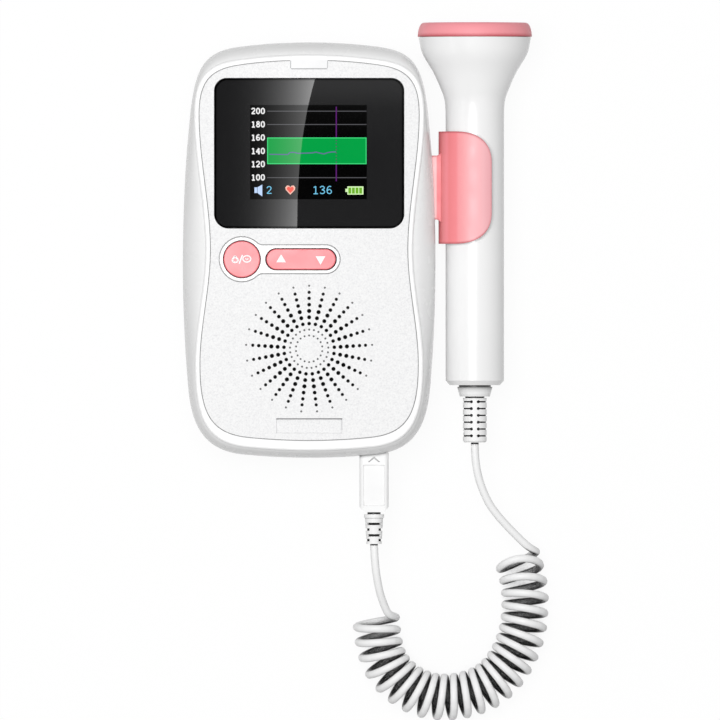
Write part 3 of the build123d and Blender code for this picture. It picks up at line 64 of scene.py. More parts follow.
camera_data = bpy.data.cameras.new("camera")
camera_data.lens = LENS
camera_data.sensor_width = SENSOR
camera_data.clip_start = CLIP_NEAR
camera_data.clip_end = CLIP_FAR
camera = bpy.data.objects.new("camera", camera_data)
bpy.context.scene.collection.objects.link(camera)
camera.location = (*VIEW_CENTRE, VIEW_LEVEL + VIEW_WIDTH * LENS / SENSOR)
bpy.context.scene.camera = camera


# ---------------------------------------------------------------------------------------------
# Materials
# ---------------------------------------------------------------------------------------------
def linear(red, green, blue):
    """A screen colour from 0 to 255 as the linear colour that a shader takes."""
    return tuple(
        part / 12.92 if part <= 0.04045 else ((part + 0.055) / 1.055) ** 2.4
        for part in (red / 255, green / 255, blue / 255)
    )


def darker(colour, share):
    """The colour at that share of its brightness."""
    return tuple(part * share for part in colour)


NOISE_LOW, NOISE_HIGH = 0.3, 0.7  # between which most of a noise lies
AO_SAMPLES = 8


class Nodes:
    """A node tree, with short ways to add and join its nodes."""

    def __init__(self, tree):
        self.tree = tree

    def add(self, kind, inputs=None, **settings):
        node = self.tree.nodes.new(kind)
        for name, value in settings.items():
            setattr(node, name, value)
        for name, value in (inputs or {}).items():
            self.feed(node.inputs[name], value)
        return node

    def feed(self, socket, value):
        if isinstance(value, bpy.types.NodeSocket):
            self.tree.links.new(value, socket)
        else:
            socket.default_value = value

    def math(self, operation, one, other):
        return self.add("ShaderNodeMath", {0: one, 1: other}, operation=operation).outputs["Value"]

    def stretched(self, value, low, high, new_low=0.0, new_high=1.0):
        """A value's range from low to high, made to run from new_low to new_high, and no more."""
        return self.add(
            "ShaderNodeMapRange",
            {
                "Value": value,
                "From Min": low,
                "From Max": high,
                "To Min": new_low,
                "To Max": new_high,
            },
        ).outputs["Result"]

    def occlusion(self, reach, **settings):
        """1 where nothing stands within reach metres of a surface, less where it is hemmed in."""
        return self.add(
            "ShaderNodeAmbientOcclusion", {"Distance": reach}, samples=AO_SAMPLES, **settings
        ).outputs["AO"]

    def seen_directly(self):
        """1 where the eye or a reflection meets a surface, 0 where light bounces off it."""
        path = self.add("ShaderNodeLightPath")
        seen = path.outputs["Is Camera Ray"]
        for kind in ("Is Glossy Ray", "Is Transmission Ray"):
            seen = self.math("MAXIMUM", seen, path.outputs[kind])
        return seen

    def end(self, kind, factor, one, other):
        """The tree's output: one shader where the factor is 0, the other where it is 1."""
        mixed = self.add("ShaderNodeMixShader", {0: factor, 1: one.outputs[0], 2: other.outputs[0]})
        self.add(kind, {"Surface": mixed.outputs[0]})


class Graph(Nodes):
    """A new material's nodes."""

    def __init__(self, name):
        self.material = bpy.data.materials.new(name)
        self.material.use_nodes = True
        super().__init__(self.material.node_tree)
        self.shader = self.tree.nodes["Principled BSDF"]
        self.place = self.add("ShaderNodeTexCoord").outputs["Object"]

    def set(self, **values):
        """Set or link the shader's own sockets, named in lower case with underscores."""
        sockets = {socket.name.lower().replace(" ", "_"): socket for socket in self.shader.inputs}
        for name, value in values.items():
            self.feed(sockets[name], value)

    def noise(self, size, detail=2.0, roughness=0.5, stretch=(1, 1, 1)):
        """Noise whose blotches are about size metres across."""
        where = self.add("ShaderNodeMapping", {"Vector": self.place, "Scale": stretch})
        return self.add(
            "ShaderNodeTexNoise",
            {
                "Vector": where.outputs["Vector"],
                "Scale": 1 / size,
                "Detail": detail,
                "Roughness": roughness,
            },
        ).outputs["Fac"]

    def spread(self, value, low, high):
        """A noise's middle range, stretched to run from low to high."""
        return self.stretched(value, NOISE_LOW, NOISE_HIGH, low, high)

    def varied(self, noise, value, share):
        """A value that changes with a noise by up to that share of itself."""
        return self.spread(noise, value * (1 - share), value * (1 + share))

    def axis(self, name):
        """How far along the X, Y or Z axis a point lies."""
        return self.add("ShaderNodeSeparateXYZ", {"Vector": self.place}).outputs[name]

    def mix(self, factor, one, other):
        """A colour between two others."""
        node = self.add("ShaderNodeMix", data_type="RGBA")
        self.feed(node.inputs["Factor"], factor)
        for socket, colour in zip([s for s in node.inputs if s.type == "RGBA"], (one, other)):
            self.feed(socket, (*colour, 1) if isinstance(colour, tuple) else colour)
        return next(s for s in node.outputs if s.type == "RGBA")

    def openness(self, reach, dark=0.35, light=0.85):
        """1 on open surfaces, 0 in gaps about reach metres wide that see little of the room."""
        return self.stretched(self.occlusion(reach), dark, light)

    def below(self, height, blend):
        """1 where the surface lies under a height, 0 above it."""
        return self.stretched(self.axis("Z"), height + blend, height)

    def shade_bands(self, axis, stops):
        """Colours along an axis, each at its own place."""
        left, right = stops[0][0], stops[-1][0]
        node = self.add(
            "ShaderNodeValToRGB", {"Fac": self.stretched(self.axis(axis), left, right)}
        )
        ramp = node.color_ramp.elements
        for place, colour in stops[1:-1]:
            ramp.new((place - left) / (right - left)).color = (*colour, 1)
        ramp[0].color = (*stops[0][1], 1)
        ramp[-1].color = (*stops[-1][1], 1)
        return node.outputs["Color"]

    def rim_shade(self, reach, dark=0.55, light=0.9):
        """0 beside an object's sharp edges, 1 from about a third of reach inwards."""
        return self.stretched(self.occlusion(reach, inside=True, only_local=True), dark, light)

    def bump(self, height, depth, strength=1.0, below=None):
        """A surface normal that follows height, depth metres deep."""
        node = self.add(
            "ShaderNodeBump", {"Height": height, "Distance": depth, "Strength": strength}
        )
        if below:
            self.feed(node.inputs["Normal"], below)
        return node.outputs["Normal"]


SHADE_PATCH = 22 * MM  # size of the slow changes of shade in a moulding
GLOSS_PATCH = 6 * MM
EDGE_BLEND = 0.08 * MM


def plastic(
    name, colour, roughness, grain, depth, mottle=0.97,
    gaps=None, edge=None, shade_bands=None, rim_shade=None, bounce=None, **more
):
    """Moulded plastic: a fine grain, slow changes of shade and a gloss that varies a little.

    gaps is the colour of the painted shade in its crevices and what openness takes for them, edge
    the height under its top and the colour of the painted shade below it, shade_bands an axis and
    the colours of painted shade and light along it, which then stand for colour, rim_shade the
    colour and reach of the painted shade at its edges, and bounce the colour it throws on its
    neighbours."""
    graph = Graph(name)
    fine = graph.noise(grain, detail=3.0)
    slow = graph.noise(SHADE_PATCH)
    # Painted shade and light: colours along an axis take the place of one colour
    if shade_bands:
        shade = graph.mix(graph.spread(slow, 0, 1 - mottle), graph.shade_bands(*shade_bands), (0, 0, 0))
    else:
        shade = graph.mix(graph.spread(slow, 0, 1), colour, darker(colour, mottle))
    # Painted shade: below that height the sides take a darker colour
    if edge:
        shade = graph.mix(graph.below(edge[0], EDGE_BLEND), shade, edge[1])
    # Painted shade: a darker colour beside the sharp edges
    if rim_shade:
        shade = graph.mix(graph.rim_shade(rim_shade[1]), rim_shade[0], shade)
    # Painted shade: a darker colour in crevices that see little of the room
    if gaps:
        shade = graph.mix(graph.openness(*gaps[1:]), gaps[0], shade)
    if bounce:
        path = graph.add("ShaderNodeLightPath")
        shade = graph.mix(path.outputs["Is Diffuse Ray"], shade, bounce)
    graph.set(
        base_color=shade,
        roughness=graph.varied(graph.noise(GLOSS_PATCH), roughness, 0.15),
        normal=graph.bump(fine, depth),
        **more,
    )
    return graph.material


SAND, PEBBLES = 0.4 * MM, 0.6 * MM  # grain sizes of the sparked mould
SAND_DEPTH, PEBBLE_DEPTH = 0.02 * MM, 0.03 * MM
GAP_REACH = 0.6 * MM
HOLE_REACH, HOLE_DARK, HOLE_LIGHT = 3 * MM, 0.1, 0.42


def speckled(name, colour, speck, crevice_shade, roughness):
    """Spark-eroded satin plastic: sandy, with small grey specks, and painted shade in its gaps and
    holes.
    """
    graph = Graph(name)
    sand = graph.noise(SAND, detail=4.0, roughness=0.7)
    pebbles = graph.noise(PEBBLES, detail=3.0, roughness=0.65)
    specks = graph.math("MULTIPLY", graph.spread(sand, 0, 1), graph.spread(pebbles, 0, 1))
    # Painted shade in the gaps: their colour where openness is low
    shade = graph.mix(graph.openness(GAP_REACH), crevice_shade, graph.mix(specks, colour, speck))
    # Painted shade in the holes: near black deep inside them
    hole_shade_mask = graph.openness(HOLE_REACH, HOLE_DARK, HOLE_LIGHT)
    graph.set(
        base_color=graph.mix(hole_shade_mask, HOLE_SHADE, shade),
        roughness=graph.varied(pebbles, roughness, 0.1),
        normal=graph.bump(sand, SAND_DEPTH, 0.6, graph.bump(pebbles, PEBBLE_DEPTH, 0.5)),
    )
    return graph.material


LINE_SHADE = 0.86  # brightness of a metal's darker lines


def metal(name, colour, roughness, stretch=(1, 1, 1), grain=0.4 * MM, depth=0.008 * MM):
    """Plated or brushed metal: fine lines along the stretched direction."""
    graph = Graph(name)
    lines = graph.noise(grain, detail=3.0, stretch=stretch)
    graph.set(
        base_color=graph.mix(graph.spread(lines, 0, 1), colour, darker(colour, LINE_SHADE)),
        metallic=1.0,
        roughness=graph.varied(lines, roughness, 0.3),
        normal=graph.bump(lines, depth, 0.6),
    )
    return graph.material


PAINT_SHINE, PAINT_ROUGHNESS = 0.25, 0.02
PAINT_BASE = 0.05  # how much of an ink's colour shows when it isn't lit
PIXEL_PITCH, PIXEL_SHADE = 0.165 * MM, 0.94


def paint(name, colour):
    """What the lit display shows: a colour of its own, under the lens's gloss."""
    graph = Graph(name)
    pixels = graph.add(
        "ShaderNodeTexChecker", {"Vector": graph.place, "Scale": 1 / PIXEL_PITCH}
    ).outputs["Fac"]
    graph.set(
        base_color=(*darker(colour, PAINT_BASE), 1),
        emission_color=graph.mix(pixels, colour, darker(colour, PIXEL_SHADE)),
        emission_strength=1.0,
        roughness=PAINT_ROUGHNESS,
        specular_ior_level=PAINT_SHINE,
    )
    return graph.material


WHITE = linear(251, 251, 251)
SHELL_WHITE = linear(247, 247, 247)
# Painted shade in the grooves and parting lines between parts
GROOVE_SHADE = linear(150, 150, 152)
SATIN = linear(245, 245, 245)
SATIN_SPECK = linear(216, 216, 218)
# Painted shade deep in the grille's holes
HOLE_SHADE = linear(20, 20, 20)
KEY_PINK = linear(252, 130, 136)
# Painted shade on the keys' sides, below their pink top
KEY_SIDE_SHADE = linear(150, 52, 62)
# Painted shade and light across the clip, from its neck over its shaded left side to its lit pale
# front
CLIP_SHADED_PINKS = [
    (42.2 * MM, linear(255, 188, 190)),
    (42.7 * MM, linear(232, 116, 122)),
    (43.7 * MM, linear(238, 118, 124)),
    (44.4 * MM, linear(246, 138, 142)),
    (45.8 * MM, linear(255, 148, 156)),
    (46.6 * MM, linear(250, 136, 141)),
    (48.9 * MM, linear(252, 142, 148)),
    (49.8 * MM, linear(254, 160, 165)),
    (51.6 * MM, linear(254, 170, 174)),
    (54.0 * MM, linear(254, 176, 181)),
    (58.0 * MM, linear(254, 190, 195)),
    (60.5 * MM, linear(248, 180, 186)),
]
# Painted shade at the edges of the clip and cap
PINK_RIM_SHADE = linear(196, 84, 92)
PALE_BOUNCE = linear(226, 218, 218)
CAP_PINK = linear(255, 160, 168)
CORD_WHITE = linear(252, 252, 252)
# Painted shade on hemmed-in cord surfaces
HOLLOW_SHADE = linear(14, 14, 15)
LENS_BLACK = linear(30, 30, 31)

key_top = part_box("power_button")[1].z
KEY_CROWN = 0.14 * MM  # how much of the keys' height is pink

# Painted shade in its grooves and parting lines, through gaps
shell_white = plastic(
    "shell_white", SHELL_WHITE, 0.26, 0.5 * MM, 0.004 * MM,
    gaps=(GROOVE_SHADE, 0.8 * MM, 0.2, 0.6), specular_ior_level=0.3,
)
probe_white = plastic(
    "probe_white", WHITE, 0.22, 0.5 * MM, 0.003 * MM, specular_ior_level=0.35
)
# Painted shadow on the collar: its foot is white, and its top is dark, where it goes into the
# handle
COLLAR_SHADOW_GREYS = [
    (-48.9 * MM, linear(236, 236, 236)),
    (-47.6 * MM, linear(250, 250, 250)),
    (-46.7 * MM, linear(232, 232, 232)),
    (-46.1 * MM, linear(200, 200, 200)),
    (-45.8 * MM, linear(150, 150, 150)),
    (-45.5 * MM, linear(84, 84, 84)),
    (-45.1 * MM, linear(92, 92, 92)),
    (-44.8 * MM, linear(190, 190, 190)),
]
# Painted shadow at the top of the collar, through shade_bands
collar_white = plastic(
    "collar_white", None, 0.35, 0.5 * MM, 0.004 * MM, shade_bands=("Y", COLLAR_SHADOW_GREYS)
)
satin_white = speckled("satin_white", SATIN, SATIN_SPECK, GROOVE_SHADE, 0.5)
bezel_white = plastic("bezel_white", WHITE, 0.2, 0.4 * MM, 0.003 * MM)
# Painted shade: maroon on the keys' sides below their crown
key_pink = plastic(
    "key_pink", KEY_PINK, 0.32, 0.45 * MM, 0.006 * MM, 0.96, edge=(key_top - KEY_CROWN, KEY_SIDE_SHADE)
)
# Painted shade and light along X, and painted shade at its edges
clip_pink = plastic(
    "clip_pink", None, 0.42, 0.5 * MM, 0.006 * MM,
    shade_bands=("X", CLIP_SHADED_PINKS), rim_shade=(PINK_RIM_SHADE, 1.1 * MM), bounce=PALE_BOUNCE,
)
# Painted shade at its edges
cap_pink = plastic(
    "cap_pink", CAP_PINK, 0.5, 0.5 * MM, 0.008 * MM, 0.96,
    rim_shade=(PINK_RIM_SHADE, 1.6 * MM), bounce=PALE_BOUNCE,
)
lens_black = plastic("lens_black", LENS_BLACK, 0.02, 3 * MM, 0.0003 * MM, 0.95)
# Painted shade in the crevices of the plug and the strain reliefs
soft_white = plastic(
    "soft_white", CORD_WHITE, 0.42, 0.35 * MM, 0.01 * MM,
    gaps=(HOLLOW_SHADE, 1.6 * MM), specular_ior_level=0.25,
)
# Painted shade on the curl's sheltered back turns and between its turns
sheath_white = plastic(
    "sheath_white", CORD_WHITE, 0.36, 0.3 * MM, 0.008 * MM,
    gaps=(HOLLOW_SHADE, 14 * MM, 0.5, 0.7), specular_ior_level=0.25,
)
foam_black = plastic("foam_black", linear(28, 28, 29), 0.9, 0.25 * MM, 0.05 * MM, 0.7)
frame_grey = plastic("frame_grey", linear(120, 122, 126), 0.5, 0.5 * MM, 0.01 * MM, 0.9)
board_green = plastic("board_green", linear(22, 92, 52), 0.35, 0.8 * MM, 0.01 * MM, 0.8)
chip_black = plastic("chip_black", linear(30, 30, 32), 0.6, 0.2 * MM, 0.02 * MM, 0.85)
plunger_white = plastic("plunger_white", linear(225, 225, 220), 0.45, 0.4 * MM, 0.008 * MM)
cell_jacket = plastic("cell_jacket", linear(40, 78, 120), 0.3, 1.2 * MM, 0.004 * MM, 0.9)
speaker_steel = plastic("speaker_steel", linear(38, 38, 40), 0.45, 0.3 * MM, 0.02 * MM, 0.85)
paper_black = plastic("paper_black", linear(30, 30, 31), 0.85, 0.5 * MM, 0.06 * MM, 0.75)
# The real black of the probe's seal, and also the painted shade of the strain reliefs' cores
seal_black = plastic("seal_black", linear(24, 24, 25), 0.6, 0.3 * MM, 0.02 * MM, 0.8)
backing_grey = plastic("backing_grey", linear(92, 92, 95), 0.75, 0.6 * MM, 0.04 * MM, 0.8)
lcd_glass = plastic("lcd_glass", linear(34, 38, 44), 0.12, 2 * MM, 0.001 * MM, 0.9)
screw_steel = metal("screw_steel", linear(190, 190, 193), 0.35)
nickel = metal("nickel", linear(214, 211, 204), 0.2, stretch=(1, 0.2, 1))
silver = metal("silver", linear(208, 207, 202), 0.35)

FINISHES = {
    shell_white: ("front_cover", "rear_cover", "battery_cover"),
    probe_white: ("probe_front_shell", "probe_rear_shell"),
    collar_white: ("probe_collar",),
    satin_white: ("front_panel",),
    bezel_white: ("button_bezel",),
    key_pink: ("power_button", "volume_rocker"),
    clip_pink: ("probe_clip",),
    cap_pink: ("probe_cap",),
    lens_black: ("display_window",),
    soft_white: ("plug_overmould", "plug_strain_relief", "probe_strain_relief"),
    foam_black: ("lcd_gasket", "speaker_gasket"),
    frame_grey: ("lcd_holder", "transducer_cup"),
    board_green: ("main_board", "jack_board", "probe_board"),
    chip_black: ("board_chips", "power_switch", "volume_switches"),
    plunger_white: ("power_plunger", "volume_up_plunger", "volume_down_plunger"),
    cell_jacket: ("battery_cells",),
    speaker_steel: ("speaker_basket", "speaker_magnet"),
    paper_black: ("speaker_cone",),
    seal_black: ("probe_seal",),
    backing_grey: ("acoustic_backing",),
    lcd_glass: ("lcd_module",),
    screw_steel: ("case_screws", "board_screws", "jack_screws"),
    nickel: ("jack", "plug_shell", "battery_contacts", "battery_springs"),
    silver: ("piezo_crystals",),
}


def cleared(owner):
    """The node tree of a new material or world, with nothing in it."""
    owner.use_nodes = True
    owner.node_tree.nodes.clear()
    return Nodes(owner.node_tree)


def wear(thing, material):
    """Give an object one material all over."""
    thing.data.materials.clear()
    thing.data.materials.append(material)


def placed(name, vertices, faces):
    """A new object in the scene, with a mesh of those faces."""
    mesh = bpy.data.meshes.new(name)
    mesh.from_pydata(vertices, [], faces)
    mesh.update()
    thing = bpy.data.objects.new(name, mesh)
    bpy.context.scene.collection.objects.link(thing)
    return thing


for finish, names in FINISHES.items():
    for name in names:
        wear(nodes[name], finish)


# ---------------------------------------------------------------------------------------------
# Lead: straight, then wound into a curl, then straight again, all one tube
# ---------------------------------------------------------------------------------------------
CORD_DIAMETER = 2.6 * MM
CURL_RADIUS = 6.7 * MM  # to the middle of the cable
CURL_TURNS = 23.56
CURL_START = math.radians(4)  # above the curl's outer side
CURL_CROWDING = 0.01  # how much closer the turns lie at the bottom of the U than at its ends
LEAD_PULL = 3.4 * MM  # how far the lead draws the top of the first turn back
LEAD_PULL_REACH = 0.032  # as a share of the curl
CORE_STEP = 0.25 * MM  # between the points of the line that the curl winds round
TUBE_STEP = 0.65 * MM
TUBE_SIDES = 16
PROBE_JOIN, PLUG_JOIN = 1.1, 1.15  # how full the bends are between the curl and its straight ends
JOIN_POINTS = 24
ROUTE_FINENESS = 24  # points from one control point of a route to the next

# Control points in millimetres, near those of the lead's solids
PROBE_END_ROUTE = [
    (55.2, -64.15, 19.5),
    (55.2, -70.0, 19.5),
    (57.1, -78.8, 18.6),
    (62.0, -88.5, 16.4),
    (71.8, -97.8, 13.6),
]
CURL_ROUTE = [
    (69.4, -102.9, 8.02),
    (71.1, -107.6, 8.02),
    (72.4, -117.0, 8.02),
    (70.8, -131.0, 8.02),
    (63.0, -144.0, 8.02),
    (50.8, -149.3, 8.02),
    (38.2, -149.0, 8.02),
    (28.0, -142.6, 8.02),
    (22.9, -133.0, 8.02),
    (22.3, -122.7, 8.02),
]
PLUG_END_ROUTE = [
    (25.8, -120.2, 15.2),
    (24.4, -117.2, 16.8),
    (22.9, -111.6, 19.2),
    (21.8, -103.8, 21.0),
    (21.6, -97.95, 21.0),
]


def smooth_line(points):
    """Points along the NURBS curve that a route's points steer, in metres."""
    curve = bpy.data.curves.new("route", "CURVE")
    curve.dimensions = "3D"
    curve.resolution_u = ROUTE_FINENESS
    spline = curve.splines.new("NURBS")
    spline.points.add(len(points) - 1)
    for point, place in zip(spline.points, points):
        point.co = (*(part * MM for part in place), 1)
    spline.order_u = 3
    spline.use_endpoint_u = True
    holder = bpy.data.objects.new("route", curve)
    drawn = bpy.data.meshes.new_from_object(holder)
    line = np.array([vertex.co for vertex in drawn.vertices])
    bpy.data.objects.remove(holder)
    return line


def along(line):
    """How far each point lies along a line."""
    steps = np.linalg.norm(np.diff(line, axis=0), axis=1)
    return np.concatenate([[0], np.cumsum(steps)])


def evenly(line, step):
    """The same line with its points about step apart."""
    reach = along(line)
    wanted = np.linspace(0, reach[-1], max(2, round(reach[-1] / step) + 1))
    return np.column_stack([np.interp(wanted, reach, line[:, axis]) for axis in range(3)])


def directions(line):
    """The unit direction of a line at each of its points."""
    ways = np.gradient(line, axis=0)
    return ways / np.linalg.norm(ways, axis=1, keepdims=True)


def joined(start, start_way, end, end_way, pull):
    """A short smooth curve between two ends, leaving and arriving along the given ways."""
    share = np.linspace(0, 1, JOIN_POINTS)[1:-1, None]
    reach = pull * np.linalg.norm(end - start)
    return (
        (2 * share**3 - 3 * share**2 + 1) * start
        + (share**3 - 2 * share**2 + share) * reach * start_way
        + (3 * share**2 - 2 * share**3) * end
        + (share**3 - share**2) * reach * end_way
    )


def wound(core, radius, turns):
    """A left-handed helix round a level core line, from its outer side round below it first."""
    core = evenly(core, CORE_STEP)
    ways = directions(core)
    outwards = np.column_stack([-ways[:, 1], ways[:, 0], np.zeros(len(core))])
    share = np.linspace(0, 1, len(core))[:, None]
    wound_share = share - CURL_CROWDING * np.sin(2 * math.pi * share)
    angles = CURL_START - 2 * math.pi * turns * wound_share
    nearness = share / LEAD_PULL_REACH
    pulled = LEAD_PULL * nearness * np.exp(1 - nearness) * ((1 + np.sin(angles)) / 2) ** 2
    ring = np.cos(angles) * outwards + np.sin(angles) * np.array([0, 0, 1])
    return core + radius * ring - pulled * ways


probe_end = smooth_line(PROBE_END_ROUTE)
plug_end = smooth_line(PLUG_END_ROUTE)
curl = wound(smooth_line(CURL_ROUTE), CURL_RADIUS, CURL_TURNS)
probe_way, curl_way, plug_way = directions(probe_end), directions(curl), directions(plug_end)
cord_line = np.vstack(
    [
        probe_end,
        joined(probe_end[-1], probe_way[-1], curl[0], curl_way[0], PROBE_JOIN),
        curl,
        joined(curl[-1], curl_way[-1], plug_end[0], plug_way[0], PLUG_JOIN),
        plug_end,
    ]
)
cord_line = evenly(cord_line, TUBE_STEP)


def tube(name, line, radius, sides):
    """A closed round tube along a line, made of rings that don't twist."""
    ways = directions(line)
    side = np.cross(ways[0], (0, 0, 1))
    around = np.linspace(0, 2 * math.pi, sides, endpoint=False)[:, None]
    rings = []
    for place, way in zip(line, ways):
        side = side - way * side.dot(way)
        side /= np.linalg.norm(side)
        spokes = np.cos(around) * side + np.sin(around) * np.cross(way, side)
        rings.append(place + radius * spokes)
    last = (len(line) - 1) * sides
    faces = [
        (low + k, low + (k + 1) % sides, low + sides + (k + 1) % sides, low + sides + k)
        for low in range(0, last, sides)
        for k in range(sides)
    ]
    faces.append(tuple(reversed(range(sides))))
    faces.append(tuple(range(last, last + sides)))
    thing = placed(name, [tuple(vertex) for vertex in np.vstack(rings)], faces)
    thing.data.polygons.foreach_set("use_smooth", [len(face) == 4 for face in faces])
    thing.data.update()
    return thing


lead = tube("lead", cord_line, CORD_DIAMETER / 2, TUBE_SIDES)
wear(lead, sheath_white)
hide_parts("cord_probe_end", "cord_coil", "cord_plug_end")
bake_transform(lead)

# Painted shade: a dark core inside the two strain reliefs, which shows in their slots where their
# inside lies in shade
CORE_END = 0.6 * MM
CORE_SIDES = 24
PROBE_CORE_LENGTH, PROBE_CORE_RADIUS = 14.8 * MM, 3.65 * MM
PLUG_CORE_LENGTH, PLUG_CORE_RADIUS = 8.7 * MM, 2.3 * MM


def relief_shade_core(relief, length, radius, body):
    """A round dark core along a strain relief's outer part: painted shade that shows in its slots.
    """
    low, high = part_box(relief)
    middle = (low + high) / 2
    line = np.array(
        [
            (middle.x, low.y + CORE_END, middle.z),
            (middle.x, low.y + length - CORE_END, middle.z),
        ]
    )
    core = tube(f"{relief}_core", line, radius, CORE_SIDES)
    wear(core, seal_black)
    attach(core, body)


relief_shade_core("probe_strain_relief", PROBE_CORE_LENGTH, PROBE_CORE_RADIUS, "probe")
relief_shade_core("plug_strain_relief", PLUG_CORE_LENGTH, PLUG_CORE_RADIUS, "plug")

# ---------------------------------------------------------------------------------------------
# Flat marks: on the display, the keys, the lens, the speaker grille and the front panel
# ---------------------------------------------------------------------------------------------
MARK_LIFT = 0.03 * MM
PIXELS_PER_MM = 3.0
PICTURE_ZERO = (309.2, 250.1)  # the pixel of the row frame's origin
lens_low, lens_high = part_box("display_window")
panel_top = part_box("front_panel")[1].z


def at(column, row):
    """A pixel of the front view in the row frame's millimetres."""
    return ((column - PICTURE_ZERO[0]) / PIXELS_PER_MM, (PICTURE_ZERO[1] - row) / PIXELS_PER_MM)


def flat(name, shapes, height, material, body="unit"):
    """One piece of flat polygons, each a list of points in millimetres, at a height in metres."""
    vertices, faces = [], []
    for shape in shapes:
        faces.append(tuple(range(len(vertices), len(vertices) + len(shape))))
        vertices += [(x * MM, y * MM, height) for x, y in shape]
    thing = placed(name, vertices, faces)
    wear(thing, material)
    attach(thing, body)


def outline(*pixels):
    """A polygon through pixels."""
    return [at(*pixel) for pixel in pixels]


def bar(left, top, right, bottom):
    """A rectangle between two pixels."""
    return outline((left, bottom), (right, bottom), (right, top), (left, top))


def upright(column, top, bottom, width):
    """A line of that width along a column."""
    return bar(column - width / 2, top, column + width / 2, bottom)


def border(left, top, right, bottom, width):
    """The four bars of a rectangle's outline, in pixels."""
    return [
        bar(left, top, right, top + width),
        bar(left, bottom - width, right, bottom),
        bar(left, top + width, left + width, bottom - width),
        bar(right - width, top + width, right, bottom - width),
    ]


def circle_angles(count):
    """Angles spread evenly round a circle."""
    return [2 * math.pi * step / count for step in range(count)]


def stroke(points, width):
    """The quads of a line of that width through pixels."""
    places = [np.array(at(*point)) for point in points]
    quads = []
    for one, other in zip(places, places[1:]):
        way = (other - one) / np.linalg.norm(other - one)
        side = np.array([-way[1], way[0]]) * width / PIXELS_PER_MM / 2
        corners = (one - side, other - side, other + side, one + side)
        quads.append([tuple(corner) for corner in corners])
    return quads


# Digits as pen strokes in a box 4 wide and 7 tall, with their feet on row 7
DIGIT_WIDE, DIGIT_TALL = 4, 7
DIGITS = {
    "0": [
        [
            (2, 0.2), (3.2, 1), (3.6, 3.5), (3.2, 6), (2, 6.8),
            (0.8, 6), (0.4, 3.5), (0.8, 1), (2, 0.2),
        ],
    ],
    "1": [[(0.7, 1.4), (2.1, 0.3), (2.1, 6.8)], [(0.6, 6.8), (3.6, 6.8)]],
    "2": [
        [
            (0.4, 1.8), (0.9, 0.6), (2, 0.2), (3.2, 0.7),
            (3.5, 2), (2.9, 3.4), (0.4, 6.7), (3.8, 6.7),
        ],
    ],
    "3": [
        [(0.4, 1.3), (1.2, 0.3), (2.6, 0.3), (3.3, 1.2), (3.2, 2.4), (1.6, 3.3)],
        [(1.6, 3.3), (3.2, 3.9), (3.6, 5.1), (3.1, 6.3), (1.7, 6.8), (0.4, 6)],
    ],
    "4": [[(2.8, 6.8), (2.8, 0.3), (0.2, 4.8), (3.9, 4.8)], [(1.9, 6.8), (3.7, 6.8)]],
    "6": [
        [
            (3.3, 0.6), (2.1, 0.2), (0.9, 1.3), (0.4, 3.8),
            (0.8, 6), (2, 6.8), (3.3, 6.1), (3.6, 4.8),
        ],
        [(3.6, 4.8), (3.1, 3.5), (2, 3), (0.6, 3.9)],
    ],
    "8": [
        [(2, 0.2), (3.1, 0.7), (3.3, 1.9), (2, 3.2), (0.7, 1.9), (0.9, 0.7), (2, 0.2)],
        [(2, 3.2), (3.4, 4.2), (3.5, 5.8), (2, 6.8), (0.5, 5.8), (0.6, 4.2), (2, 3.2)],
    ],
}
DIGIT_GAP = 0.06  # left of each digit, as a share of the pitch
DIGIT_FILL = 0.84  # the digit's width, as a share of the pitch


def written(text, left, middle, tall, wide, pen):
    """A number's strokes, from its left pixel, middle row, height, width and the pen's width."""
    shapes = []
    pitch = wide / len(text)
    for place, digit in enumerate(text):
        start = left + pitch * (place + DIGIT_GAP)
        for line in DIGITS[digit]:
            points = [
                (
                    start + pitch * DIGIT_FILL * x / DIGIT_WIDE,
                    middle + tall * (y / DIGIT_TALL - 0.5),
                )
                for x, y in line
            ]
            shapes += stroke(points, pen)
    return shapes


# Display, in pixels of the front view
SCREEN = (250.3, 105.3, 366.8, 199.5)
GRID_LEFT, GRID_RIGHT = 267.3, 366.5
GRID_ROWS = (111.5, 124.8, 177.9)
GRID_LINE = 0.8
BAND = (GRID_LEFT, 137.8, GRID_RIGHT, 164.4)
BAND_EDGE = 0.9
CURSOR_COLUMN, CURSOR_TOP, CURSOR_LOW = 336.3, 107, 181.5
CURSOR_LINE = 1.2
CURSOR_DOT_WIDE, CURSOR_DOT_TALL = 1.0, 1.1
CURSOR_DOT_ROWS = np.arange(BAND[1] + 2.4, BAND[3] - 2, 3.1)
TRACE_LINE = 1.1
TRACE = [
    (269.5, 154.6), (288, 154.8), (290, 152.8), (294, 152.6), (298, 153.6), (312, 153.2),
    (316, 152.4), (320, 153.4), (324, 154.2), (328, 152.8), (332, 152.2), (336, 152.2),
]
SCALE_ROWS = {"200": 111.3, "180": 124.6, "160": 137.8, "140": 151.2, "120": 164.3, "100": 177.6}
SCALE_TEXT = {"left": 251.2, "tall": 5.8, "wide": 14.2, "pen": 1.25}
VOLUME_TEXT = {"left": 266.2, "middle": 190.2, "tall": 7.4, "wide": 6.4, "pen": 0.9}
RATE_TEXT = {"left": 312.4, "middle": 190.2, "tall": 8.0, "wide": 20.4, "pen": 0.9}
SPEAKER_BACK = [(254.6, 187.6), (254.6, 193.2), (257.2, 193.2), (257.2, 187.6)]
SPEAKER_CONE = [(257.6, 187.6), (257.6, 193.2), (262.4, 196.6), (262.4, 184.8)]
HEART_COLUMN, HEART_ROW = 290.4, 189.9
HEART = [(0, 5.0), (-4.6, 0.2), (-5.0, -2.2), (-3.4, -4.2), (-1.2, -4.0), (0, -2.6)]
HEART += [(-x, y) for x, y in reversed(HEART[1:-1])]
HEART_FILL = 0.7  # size of its red part
BATTERY = (347.4, 186.6, 363.4, 194.8)
